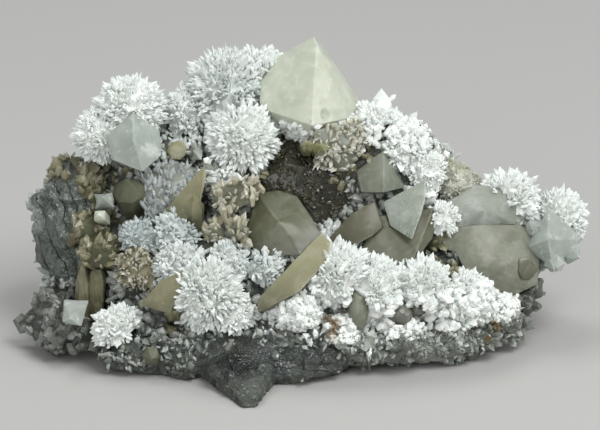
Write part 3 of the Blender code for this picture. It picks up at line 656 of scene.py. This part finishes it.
def tuftTips(tree, hearts, values, draw):  # the tier, heart and tip of each small blade, one by one
    slim = [hearts[index] for index in values.get("slim", ())]
    crusted = [hearts[index][0] for index in values.get("crusted", ())]
    allHearts = withBridges(hearts)
    for centre, radius in allHearts:
        if (centre, radius) in slim:
            continue
        area = 4 * math.pi * (radius / mm) ** 2
        tufts = spread(max(8, int(4 * math.pi * (radius / mm / tuft["apart"]) ** 2)), draw)
        for order, tier in enumerate(bladeTiers):
            if order == 0 and centre in crusted:
                continue
            for way in spread(int(tier["density"] * area), draw):
                share = draw.uniform(*tier["tip"])
                lean = Vector(draw.normal(0, tuft["lean"], 3))
                middle = tufts[np.argmax(tufts @ way)]
                away = np.linalg.norm(way - middle) * radius / mm / tuft["apart"]
                way, middle = Vector(way), Vector(middle)
                if way.z < values.get("lowest", -1.0) and centre not in crusted:
                    continue
                if not isInside(tree, centre + way * tuft["rooted"] * radius):
                    continue
                share *= 1 + tuft["fall"] * (tuft["fallFrom"] - away) * 2
                share *= 1 + tuft["uneven"] * noise.noise(middle * 7 + centre * 500) * 2
                tip = centre + (way.lerp(middle, tuft["gather"]).normalized() + lean) * share * radius
                if inOpenPlace(tip) or any((tip - other).length < tuft["clear"] * size
                                           for other, size in allHearts):
                    continue
                yield order + 1, centre, tip


def paintSpray(mesh, places, hearts, values):  # how icy each corner is, and how far it lies below the height where grey-olive specks begin
    spots = np.array([centre for centre, _ in hearts])
    sizes = np.array([radius for _, radius in hearts])
    nearest = (np.linalg.norm(places[:, None] - spots[None], axis=2) / sizes).argmin(axis=1)
    ice = np.zeros(len(places))
    for index, share in values.get("icy", {}).items():
        ice[nearest == index] = share
    setAttribute(mesh, "ice", ice)
    under = values.get("specksBelow", -9) - places[:, 2] / mm
    setAttribute(mesh, "lowSpecks", np.clip(under / lowSpeckLook["rise"], 0, 1))


def growSpray(name, values, seed):
    draw = np.random.default_rng(seed)
    node = nodes[name]
    hearts = [(layout(centre), radius * mm) for centre, radius in values["hearts"]]
    tiers = [mainBlade] + bladeTiers
    grown = [[] for _ in tiers]

    def addBlade(order, centre, tip):
        tier = tiers[order]
        small = min(1.0, ((tip - centre).length / (mainBlade["fullWidthAt"] * mm)) ** 0.7)
        width = draw.uniform(*tier["width"]) * mm * small
        grown[order].append((centre + (tip - centre) * tier["foot"], tip, width, width * tier["thick"]))

    for centre, tip in spikeTips(node, hearts, values.get("lowest", -1.0)):
        addBlade(0, centre, tip)
    for foot, tip, width in values.get("spikes", ()):
        grown[0].append((layout(foot), layout(tip), width * mm, width * mm * mainBlade["thick"]))
    for order, centre, tip in tuftTips(treeOf(node), hearts, values, draw):
        addBlade(order, centre, tip)
    parts = [bladeMesh(*zip(*blades), tier["sides"], draw) for blades, tier in zip(grown, tiers) if blades]
    coreVerts, coreFaces = coreOf(node, hearts, [hearts[index] for index in values.get("slim", ())])
    parts.append((coreVerts, coreFaces, np.full(len(coreVerts), 0.3), np.full(len(coreVerts), 0.5)))
    mesh = meshOf(name + "_dressed", parts)
    paintSpray(mesh, np.concatenate([part[0] for part in parts]), hearts, values)
    makePiece(name + "_dressed", mesh, values.get("look", "sprayWhite"), [name],
              values.get("slot", "spray_white"))
    return sum(len(blades) for blades in grown)


bladeCount = sum(growSpray(name, values, 40 + order) for order, (name, values) in enumerate(sprays.items()))
print("stage: sprays ready,", bladeCount, "blades")

# crystals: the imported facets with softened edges, uneven faces and growth marks
crystals = {
    "great_crystal": ("creamFrost", "crystal_pale",
        {"grid": 0.5, "bevel": 0.16, "dents": [((5.3, -4.7, 48.3), 1.4, 0.7)]}),
    "shoulder_crystal": ("greyGlass", "crystal_grey"),
    "pale_rhomb": ("milkGlass", "crystal_pale"),
    "tan_crystal": ("oliveGlass", "crystal_olive"),
    "great_blade": ("tanGlass", "crystal_tan"),
    "slab_blade": ("deepOlive", "crystal_olive"),
    "grey_pyramid": ("greyGlass", "crystal_grey"),
    "pale_pyramid": ("clearGlass", "crystal_pale"),
    "olive_wedge": ("oliveGlass", "crystal_olive"),
    "pale_slab": ("oliveFrost", "crystal_pale", {"keep": 45.0, "soften": 70, "grow": 0.3}),
    "upper_slab": ("paleFrost", "crystal_pale", {"grow": 0.4}),
    "round_knob": ("oliveGlass", "crystal_olive", {"keep": 80.0}),
    "blue_slab": ("greyGlass", "crystal_grey"),
    "olive_ridge": ("oliveGlass", "crystal_olive"),
    "recess_crystal": ("darkGlass", "crystal_dark"),
    "lump_rhomb": ("milkGlass", "crystal_grey"),
    "knob_crystal": ("oliveGlass", "crystal_olive"),
    "brown_prism": ("tanGlass", "crystal_olive"),
    "small_rhomb": ("milkGlass", "crystal_pale"),
    "small_cube": ("creamFrost", "crystal_pale"),
    "yellow_knob": ("yellowFrost", "crystal_yellow"),
    "crust_lens": ("smokeGlass", "crystal_dark", {"keep": 75.0, "soften": 60, "grow": 0.8}),
    "crust_lens_left": ("oliveFrost", "crystal_dark", {"keep": 75.0, "soften": 20, "grow": 0.6}),
    "crust_lens_right": ("smokeGlass", "crystal_dark", {"keep": 75.0, "soften": 60, "grow": 0.7}),
    "back_crystal": ("creamFrost", "crystal_pale"),
    "back_crystal_left": ("greyGlass", "crystal_grey"),
    "back_crystal_low": ("oliveGlass", "crystal_olive"),
    "lens_front": ("oliveGlass", "crystal_olive"),
    "upright_blades": ("tanGlass", "crystal_tan"),
    "spark_ridge": ("clearGlass", "spray_white"),
    "olive_facets": ("oliveGlass", "crystal_olive"),
    "grey_shards": ("greyGlass", "crystal_grey"),
    "clear_fill": ("oliveGlass", "crystal_olive"),
    "back_cluster": ("clearGlass", "crystal_pale"),
    "grey_blades": ("greyGlass", "crystal_grey"),
    "yellow_rhombs": ("yellowFrost", "crystal_yellow"),
    "tan_prisms": ("tanGlass", "crystal_tan"),
    "left_columns": ("fibreTan", "crystal_tan", {"grid": 0.6, "swell": 0.3}),
    "right_cluster": ("milkGlass", "crystal_grey"),
    "left_lump": ("lumpGlass", "crystal_grey", {"lumpy": 0.7}),
    "clear_patch": ("lumpGlass", "crystal_grey", {"lumpy": 0.6}),
}
# in mm: bevel, longest edge (grid), swelling, outward growth, grid of lumpy ones; keep: the sharpest
# angle, in degrees, that isn't bevelled; soften: rounds of evening out; dents: place, reach, depth
crystalDetail = {"bevel": 0.22, "grid": 0.8, "swell": 0.10, "swellScale": 220.0, "keep": 34.0,
                 "soften": 40, "grow": 0.0, "linesAlong": 1, "lumpy": 0.0, "lumpGrid": 0.55, "lumpScale": 380,
                 "blockScale": 420, "dents": ()}


def relax(points, ends, free, rounds, pull=0.6):  # evens out the free points between their neighbours
    ties = np.bincount(ends.ravel(), minlength=len(points))[:, None]
    for _ in range(rounds):
        total = np.zeros_like(points)
        np.add.at(total, ends[:, 0], points[ends[:, 1]])
        np.add.at(total, ends[:, 1], points[ends[:, 0]])
        points = np.where(free[:, None], points * (1 - pull) + total / ties * pull, points)
    return points


def voxelMesh(shape, size):  # the closed shape on an even grid, which rounds its edges
    source = bpy.data.meshes.new("gridSource")
    shape.to_mesh(source)
    shape.free()
    holder = placeObject("gridSource", source)
    remesh = holder.modifiers.new("grid", "REMESH")
    remesh.mode = "VOXEL"
    remesh.voxel_size = size * mm
    mesh = bpy.data.meshes.new_from_object(holder.evaluated_get(bpy.context.evaluated_depsgraph_get()))
    bpy.data.objects.remove(holder)
    bpy.data.meshes.remove(source)
    return mesh


def lumpyShape(shape, detail):  # a worn, lumpy version of the same form
    even = voxelMesh(shape, detail["lumpGrid"])
    shape = bmesh.new()
    shape.from_mesh(even)
    shape.normal_update()
    push = detail["lumpy"] * mm
    moves = [v.normal * push * (noise.fractal(v.co * detail["lumpScale"], 0.8, 2.1, 4) * 0.6
                                + noise.cell(v.co * detail["blockScale"]) - 0.5) for v in shape.verts]
    for vertex, move in zip(shape.verts, moves):
        vertex.co += move
        vertex.co.z = max(vertex.co.z, 0.0)
    return shape


def settleOrder(shape):  # bevels leave corners and faces in an order that changes from run to run
    shape.verts.index_update()
    ranks = np.lexsort(np.array([vertex.co for vertex in shape.verts]).T).argsort()
    shape.verts.sort(key=lambda vertex: float(ranks[vertex.index]))
    shape.verts.index_update()
    size = float(len(shape.verts))
    for parts in (shape.edges, shape.faces):
        parts.sort(key=lambda part: sum(index * size ** power for power, index in
                                        enumerate(sorted(vertex.index for vertex in part.verts)[:3])))


def softenRidges(shape, detail):  # rounds the ridges and evens out the faces between them
    keep = math.radians(detail["keep"])
    ridges = [e for e in shape.edges if len(e.link_faces) == 2 and e.calc_face_angle(0) > keep]
    rim = shape.faces.layers.float.new("edge")
    made = bmesh.ops.bevel(shape, geom=ridges, offset=detail["bevel"] * mm, segments=2, profile=0.6,
                           affect="EDGES", clamp_overlap=True)
    for face in made["faces"]:
        face[rim] = 1.0
    bmesh.ops.triangulate(shape, faces=shape.faces)
    splitLong(shape, detail["grid"] * mm)
    shape.verts.index_update()
    points = np.array([v.co for v in shape.verts])
    ends = np.array([[v.index for v in e.verts] for e in shape.edges])
    free = np.array([all(face[rim] < 0.5 for face in v.link_faces) for v in shape.verts])
    for vertex, point in zip(shape.verts, relax(points, ends, free, detail["soften"])):
        vertex.co = point
    shape.normal_update()


def swellFaces(shape, detail):  # uneven faces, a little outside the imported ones
    swell, grow = detail["swell"] * mm, detail["grow"] * mm
    moves = [v.normal * (grow + swell * noise.fractal(v.co * detail["swellScale"], 1.0, 2.0, 3))
             for v in shape.verts]
    for vertex, move in zip(shape.verts, moves):
        vertex.co += move


def wearHollows(shape, detail):  # small worn hollows; gives back how deep in one each corner is, which the crystal material darkens as painted shade
    dented = np.zeros(len(shape.verts))
    for centre, reach, depth in detail["dents"]:
        for index, vertex in enumerate(shape.verts):
            near = 1 - (vertex.co - layout(centre)).length / (reach * mm)
            if near > 0:
                vertex.co -= vertex.normal * depth * mm * min(1, near * 2)
                dented[index] = min(1, near * 3)
    return dented


def dressCrystal(name, look, slot, own=None):
    detail = {**crystalDetail, **(own or {})}
    shape = facetsOf(nodes[name])
    if detail["lumpy"]:
        shape = lumpyShape(shape, detail)
        detail.update(keep=120.0, soften=2, swell=0.0)
    bmesh.ops.dissolve_limit(shape, angle_limit=math.radians(1.0), verts=shape.verts, edges=shape.edges)
    softenRidges(shape, detail)
    swellFaces(shape, detail)
    settleOrder(shape)
    dented = wearHollows(shape, detail)
    points = np.array([v.co for v in shape.verts])
    middle = points.mean(0)
    way = np.linalg.svd(points - middle, full_matrices=False)[2][detail["linesAlong"]]
    way *= np.sign(way[np.abs(way).argmax()])
    mesh = bpy.data.meshes.new(name + "_dressed")
    shape.to_mesh(mesh)
    shape.free()
    setAttribute(mesh, "rise", (points - middle) @ way / mm)
    setAttribute(mesh, "height", (points[:, 2] - points[:, 2].min()) / np.ptp(points[:, 2]))
    setAttribute(mesh, "hollowShade", dented)
    mesh.shade_smooth()
    mesh.set_sharp_from_angle(angle=math.radians(30))
    makePiece(name + "_dressed", mesh, look, [name], slot)


for name, values in crystals.items():
    dressCrystal(name, *values)
print("stage: crystals ready")

# rock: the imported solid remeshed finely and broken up; sizes in mm, scales of the noise per metre
rockDetail = {"voxel": 0.7, "rough": 0.675, "roughScale": 260, "fine": 0.45, "fineScale": 330,
              "baseKeep": 0.6, "ridges": 1.2}
# swellings that close the gaps between the crust's lumps: middle and half sizes in layout mm
rockSwellings = [((3, -26, 4.6), (5, 4.5, 4.3)), ((13, -24.2, 4.8), (6.5, 4.6, 4.5)),
                 ((24.6, -21.8, 4.8), (7, 4.6, 4.4)), ((34.5, -18, 4.6), (6.5, 4.6, 4.2)),
                 ((41, -13, 5), (5, 5, 4.6))]


def rockMesh():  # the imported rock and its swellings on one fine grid
    shape = facetsOf(nodes["matrix"])
    for centre, half in rockSwellings:
        made = bmesh.ops.create_icosphere(shape, subdivisions=3, radius=mm)["verts"]
        for vertex in made:
            vertex.co = layout(centre) + Vector([way * size for way, size in zip(vertex.co, half)])
            vertex.co.z = max(vertex.co.z, 0.0)
    return voxelMesh(shape, rockDetail["voxel"])


def rockPush(places):  # how far each point moves out, in mm: blocks, rolling breaks and streaked ridges
    push = np.zeros(len(places))
    parts = [(Vector(part["at"]), part["reach"],
              Vector(part["slope"]).normalized() / mm * part["lines"] * rockDetail["ridges"], part["deep"])
             for part in streakedParts]
    for index, place in enumerate(places):
        p = Vector(place)
        blocky = noise.cell(p * rockDetail["fineScale"]) - 0.5
        rolling = noise.fractal(p * rockDetail["roughScale"], 0.8, 2.2, 4)
        push[index] = rockDetail["rough"] * rolling + rockDetail["fine"] * blocky
        for at, reach, slope, deep in parts:
            near = 1 - (p / mm - toFrame - at).length / reach
            if near > 0:
                wave = 1 - 2 * abs(noise.noise(Vector((p.dot(slope), p.y * 60, 3.0))))
                push[index] += deep * min(1, near * 3) * wave
    return push * np.clip(places[:, 2] / (rockDetail["baseKeep"] * mm) - 0.5, 0, 1)


def dressRock():
    mesh = rockMesh()
    places = np.zeros(len(mesh.vertices) * 3, np.float32)
    mesh.vertices.foreach_get("co", places)
    places = places.reshape(-1, 3)
    normals = np.array([v.normal for v in mesh.vertices])
    places = places + normals * rockPush(places)[:, None] * mm
    places[:, 2] = np.maximum(places[:, 2], 0)
    mesh.vertices.foreach_set("co", places.astype(np.float32).ravel())
    mesh.update()
    mesh.name = "matrix_dressed"
    mesh.shade_smooth()
    mesh.set_sharp_from_angle(angle=math.radians(35))
    makePiece("matrix_dressed", mesh, "rock", ["matrix"], "rock")


dressRock()
print("stage: rock ready")

# druse: small crystals that cover the rock between the larger ones; density per square mm, length
# and width in mm, the rest as shares: thickness, leaning, upward pull, how deep the foot sits
druseBase = {"slot": "crystal_grey", "thick": 0.65, "lean": 0.5, "up": 0.0, "sunk": 0.45, "sides": 6}
druseKinds = {
    "whiteBlades": {"look": "sprayWhite", "slot": "spray_white", "density": 1.0, "length": (1.9, 3.4),
        "width": (1.0, 1.7), "lean": 0.35, "up": 0.25},
    "tanBlades": {"look": "druseTan", "slot": "crystal_tan", "density": 0.7, "length": (2.0, 4.4),
        "width": (1.1, 2.0), "thick": 0.55, "lean": 0.4, "up": 0.5},
    "paleBlades": {"look": "drusePale", "slot": "crystal_pale", "density": 1.2, "length": (2.4, 4.4),
        "width": (0.9, 1.5), "thick": 0.55, "lean": 0.25, "up": 0.3, "sunk": 0.5},
    "greyPoints": {"look": "druseGrey", "density": 0.6, "length": (2.2, 4.0), "width": (1.2, 2.2),
        "thick": 0.7, "up": 0.25, "sunk": 0.5},
    "olivePoints": {"look": "druseOlive", "slot": "crystal_olive", "density": 0.5,
        "length": (2.4, 4.6), "width": (1.5, 2.8), "lean": 0.45, "up": 0.25, "sunk": 0.5},
    "greenPoints": {"look": "druseGreen", "density": 0.65, "length": (1.8, 3.6), "width": (1.2, 2.4),
        "lean": 0.7, "up": 0.1, "sunk": 0.5},
    "tallOlive": {"look": "druseOlive", "slot": "crystal_olive", "density": 0.32, "length": (2.4, 4.8),
        "width": (1.5, 2.9), "thick": 0.6, "lean": 0.6, "up": 1.0, "sunk": 0.55},
    "comb": {"look": "combIce", "density": 1.3, "length": (2.6, 4.2), "width": (0.9, 1.5),
        "thick": 0.55, "lean": 0.3, "up": 1.4, "sunk": 0.6},
    "whiteCrumbs": {"look": "sprayWhite", "slot": "spray_white", "density": 1.2, "length": (0.9, 1.9),
        "width": (0.9, 1.8), "thick": 0.8, "lean": 0.9},
    "chips": {"look": "druseGrey", "density": 1.1, "length": (0.9, 2.3), "width": (0.9, 1.9),
        "thick": 0.5, "lean": 0.9},
    "lumpPoints": {"look": "lumpWhite", "density": 0.22, "length": (1.6, 3.2), "width": (1.8, 3.6),
        "thick": 0.7, "lean": 0.8, "sunk": 0.66},
    "darkGrains": {"look": "grainDark", "slot": "crystal_dark", "density": 1.3, "length": (0.6, 1.4),
        "width": (0.6, 1.4), "thick": 0.6, "lean": 0.7, "sunk": 0.4},
    "darkPlates": {"look": "plateDark", "slot": "rock", "density": 0.8, "length": (1.2, 3.0),
        "width": (1.0, 2.2), "thick": 0.25, "sunk": 0.3, "lying": True},
}
# what the druse grows on, and between which heights in millimetres or only on overhanging
# faces; on the matrix the zones below give the kind
druseHosts = [
    ("matrix", {}), ("olive_facets", {"kind": "tallOlive"}), ("blue_slab", {"kind": "comb"}),
    ("left_lump", {"kind": "lumpPoints"}), ("clear_patch", {"kind": "lumpPoints"}),
    ("spark_ridge", {"kind": "whiteBlades"}), ("grey_shards", {"kind": "tanBlades"}),
    ("grey_blades", {"kind": "greyPoints"}), ("shoulder_crystal", {"kind": "paleBlades"}),
    ("olive_ridge", {"kind": "tanBlades"}), ("recess_crystal", {"kind": "darkGrains"}),
    ("great_crystal", {"kind": "whiteCrumbs", "down": True, "below": 46.5}),
    ("clear_fill", {"kind": "olivePoints", "share": 0.4}),
    ("crest_spray", {"kind": "whiteCrumbs", "above": 40, "below": 45.5, "share": 0.3}),
    ("crust_spray", {"kind": "whiteCrumbs", "above": 8.5, "below": 17, "share": 0.8}),
    ("crust_spray", {"kind": "greenPoints", "below": 8, "share": 0.6}),
    ("crust_spray", {"kind": "chips", "below": 9.5, "share": 0.7}),
]
# where each kind grows: place and reach in layout millimetres, kind; the first that holds a point wins
druseZones = [
    ((-5, -31, 4.5), (8, 6, 3.5), None), ((5, -31, 4.5), (8, 6, 3.5), None),
    ((-12.5, -36, 2.5), (11, 10, 8), None), ((-52, -6, 24), (9, 9, 11), None),
    ((-8, -31, 8), (11, 6, 4.0), ("darkPlates", "chips")),
    ((3, -31, 6), (9, 6, 4.0), ("darkPlates", "chips")),
    ((-46, -3, 33), (10, 9, 6), "olivePoints"), ((-43, -8, 22), (6, 8, 10), "tallOlive"),
    ((-35, -28, 6), (8, 8, 6), ("greenPoints", "chips", "darkPlates")),
    ((-22, -29, 6), (9, 8, 6), ("greenPoints", "chips", "darkPlates")),
    ((-28, 0, 41), (9, 6, 6), "whiteBlades"), ((-20, -5, 39), (4, 5, 3), "greyPoints"),
    ((-14, -8, 36), (6, 6, 5), "greyPoints"), ((24, 2, 42), (10, 9, 8), "whiteBlades"),
    ((30, -2, 33), (8, 7, 5), "whiteBlades"), ((4, -2, 37), (12, 6, 8), "olivePoints"),
    ((-30, -8, 31), (8, 6, 6), "greyPoints"), ((-35, -9, 23), (8, 7, 7), "whiteBlades"),
    ((-20, -19, 22), (10, 8, 7), "whiteBlades"), ((-11, -20, 20), (8, 7, 7), "greyPoints"),
    ((-14, -10, 28), (7, 6, 5), "greyPoints"), ((5, -14, 23), (9, 8, 7), "whiteBlades"),
    ((20, -14, 19), (12, 8, 6), "olivePoints"), ((40, -10, 18), (12, 8, 10), "greenPoints"),
    ((10, -24, 11), (22, 9, 4), "whiteBlades"), ((22, -23, 5), (22, 9, 6), ("chips", "greenPoints")),
    ((36, -16, 5), (16, 9, 6), ("chips", "greenPoints")), ((-46, -18, 6), (16, 12, 7), "greenPoints"),
    ((0, 20, 34), (34, 22, 12), ("whiteBlades", "whiteBlades", "greyPoints")),
    ((-38, 14, 22), (18, 16, 12), ("olivePoints", "greyPoints", "tanBlades")),
    ((40, 12, 16), (18, 16, 12), "greyPoints"),
]
mostDruse = max(kind["density"] for kind in druseKinds.values())
# what the upward part of the skin's normal may be, in the open and where only overhangs are grown
# on; in mm, the lowest start, how far out another piece may not be, and the lowest corner; and how
# the sizes vary
druseFit = {"open": (-0.5, 1.1), "under": (-1.0, 0.12), "startAbove": 1.5, "coverAt": 1.4, "lowest": 0.3,
            "sizeShift": -0.08, "sizeSpread": 0.3, "sizeMost": 1.5}


def zoneKind(point):  # the zones' edges are ragged, so that the kinds mix there
    place = Vector(point) / mm - toFrame
    place += noise.noise_vector(Vector(point) * 420) * 5.0  # moves the edge by a few mm
    for centre, reach, kind in druseZones:
        if sum(((a - b) / c) ** 2 for a, b, c in zip(place, centre, reach)) < 1:
            return kind
    return "greyPoints" if place.z > 11 else ("greenPoints", "chips", "darkPlates")


def sortedTriangles(mesh):  # the corners of a mesh's triangles, in an order that only the shape sets
    mesh.calc_loop_triangles()
    places = np.zeros(len(mesh.vertices) * 3, np.float32)
    mesh.vertices.foreach_get("co", places)
    picks = np.zeros(len(mesh.loop_triangles) * 3, np.int32)
    mesh.loop_triangles.foreach_get("vertices", picks)
    corners = places.reshape(-1, 3).astype(float)[picks].reshape(-1, 3, 3)
    keys = np.round(corners / mm, 3) @ (1.0, 1e3, 1e6)
    turns = (keys.argmin(axis=1)[:, None] + np.arange(3)) % 3
    corners = np.take_along_axis(corners, turns[:, :, None], axis=1)
    keys = np.take_along_axis(keys, turns, axis=1)
    return corners[np.lexsort((keys[:, 2], keys[:, 1], keys[:, 0]))]


def surfacePoints(piece, density, draw):  # points spread over a piece's surface, with their normals
    corners = sortedTriangles(piece.data)
    normals = np.cross(corners[:, 1] - corners[:, 0], corners[:, 2] - corners[:, 0])
    areas = np.linalg.norm(normals, axis=1) / 2
    corners, normals, areas = (values[areas > 1e-13] for values in (corners, normals, areas))
    normals /= areas[:, None] * 2
    areas /= mm ** 2
    count = int(areas.sum() * density)
    picked = draw.choice(len(areas), count, p=areas / areas.sum())
    first, second = draw.random((count, 1)), draw.random((count, 1))
    flip = first + second > 1
    first, second = np.where(flip, 1 - first, first), np.where(flip, 1 - second, second)
    a, b, c = (corners[picked, corner] for corner in range(3))
    return a + (b - a) * first + (c - a) * second, normals[picked]


def isBare(host, choice, kindName, point, normal, draw):  # whether this kind may grow at the point
    low, high = choice.get("above", druseFit["startAbove"]), choice.get("below", 99)
    if kindName is None or not low < point[2] / mm < high:
        return False
    least, most = druseFit["under" if choice.get("down") else "open"]
    if not least <= normal[2] < most:
        return False
    if draw.random() > druseKinds[kindName]["density"] / mostDruse * choice.get("share", 1):
        return False
    return host == "matrix" or not inOpenPlace(point)


def drusePlaces(draw):  # where each kind grows: on the bare skin, not inside another piece
    solids = {name: (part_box(name), treeOf(node)) for name, node in nodes.items() if name != "matrix"}
    grown = {name: [] for name in druseKinds}
    for host, choice in druseHosts:
        covers = [solid for name, solid in solids.items() if name != host]
        for point, normal in zip(*surfacePoints(bpy.data.objects[host + "_dressed"], mostDruse, draw)):
            kindName = choice.get("kind") or zoneKind(point)
            if isinstance(kindName, tuple):
                kindName = kindName[draw.integers(len(kindName))]
            if not isBare(host, choice, kindName, point, normal, draw):
                continue
            above = Vector(point + normal * druseFit["coverAt"] * mm)
            if any(all(low[i] < above[i] < high[i] for i in range(3)) and isInside(tree, above)
                   for (low, high), tree in covers):
                continue
            grown[kindName].append((point, normal))
    return grown


def drusePart(kind, spots, draw):  # the small crystals of one kind
    places, ups = (np.array(values) for values in zip(*spots))
    count = len(places)
    ways = ups + draw.normal(0, kind["lean"], (count, 3))
    ways[:, 2] += kind["up"]
    if kind.get("lying"):
        ways = np.cross(ups, draw.normal(0, 1, (count, 3))) + ups * draw.uniform(0.0, 0.6, (count, 1))
    ways /= np.linalg.norm(ways, axis=1, keepdims=True)
    sizes = draw.lognormal(druseFit["sizeShift"], druseFit["sizeSpread"], count)
    sizes = np.minimum(sizes, druseFit["sizeMost"])
    length = (draw.uniform(*kind["length"], count) * sizes)[:, None] * mm
    widths = draw.uniform(*kind["width"], count) * sizes * mm
    feet = places - ways * length * kind["sunk"]
    part = bladeMesh(feet, feet + ways * length, widths, widths * kind["thick"], kind["sides"], draw,
                     ups if kind.get("lying") else None)
    part[0][:, 2] = np.maximum(part[0][:, 2], druseFit["lowest"] * mm)
    return part


def growDruse(seed):
    draw = np.random.default_rng(seed)
    grown = drusePlaces(draw)
    for name, spots in grown.items():
        if spots:
            kind = {**druseBase, **druseKinds[name]}
            mesh = meshOf("druse_" + name, [drusePart(kind, spots, draw)])
            makePiece("druse_" + name, mesh, kind["look"], [], kind["slot"])
    return sum(len(spots) for spots in grown.values())


print("stage: druse ready,", growDruse(7), "small crystals")

# stage: floor, lights and camera; places and sizes in metres, the aim height in mm, angles in degrees
stageLook = {"floor": rgb(176, 176, 173), "shade": rgb(180, 180, 178), "half": 2.5, "cameraAway": 0.7,
             "lens": 200.8, "sensor": 36.0, "elevation": 20.0, "aimHeight": 24.7, "world": 0.36,
             "sky": (0.97, 0.98, 1.0, 1), "lightsAim": (0, 0, 0.03)}
stageLights = {  # place, size, power
    "keyLight": ((0.4, -0.45, 0.9), 0.55, 7.2), "topLight": ((-0.2, 0.35, 1.0), 0.5, 3.2),
    "sideLight": ((0.95, -0.35, 0.35), 0.4, 2.4), "frontLight": ((-0.3, -0.8, 0.4), 0.6, 2.6),
}


def buildFloor():
    mesh = bpy.data.meshes.new("studioFloor")
    half = stageLook["half"]
    mesh.from_pydata([(-half, -half, 0), (half, -half, 0), (half, half, 0), (-half, half, 0)], [],
                     [(0, 1, 2, 3)])
    floor = placeObject("studioFloor", mesh)
    material, tree, shader = newMaterial("floorPaper")
    soft = times(tree, cloudMask(tree, 9.0, 0.2, 0.8), 0.06)
    tint = mixColours(tree, soft, stageLook["floor"], stageLook["shade"])
    setShader(tree, shader, {"Base Color": tint, "Roughness": 0.9})
    mesh.materials.append(material)


def buildLights():
    world = bpy.data.worlds.new("studio")
    bpy.context.scene.world = world
    world.use_nodes = True
    background = world.node_tree.nodes["Background"]
    background.inputs["Color"].default_value = stageLook["sky"]
    background.inputs["Strength"].default_value = stageLook["world"]
    for label, (spot, size, power) in stageLights.items():
        light = bpy.data.lights.new(label, "AREA")
        light.size = size
        light.energy = power
        lamp = placeObject(label, light)
        lamp.location = spot
        aim = Vector(stageLook["lightsAim"]) - Vector(spot)
        lamp.rotation_euler = aim.to_track_quat("-Z", "Y").to_euler()


def buildCamera():
    lens = bpy.data.cameras.new("camera")
    lens.lens = stageLook["lens"]
    lens.sensor_width = stageLook["sensor"]
    lens.clip_end = 20.0
    camera = placeObject("camera", lens)
    tilt = math.radians(stageLook["elevation"])
    back = Vector((0, -math.cos(tilt), math.sin(tilt)))
    camera.location = layout((0, 0, stageLook["aimHeight"])) + back * stageLook["cameraAway"]
    camera.rotation_euler = (-back).to_track_quat("-Z", "Y").to_euler()
    bpy.context.scene.camera = camera
    bpy.context.scene.view_settings.view_transform = "Standard"


buildFloor()
buildLights()
buildCamera()
print("stage: floor, lights and camera ready")
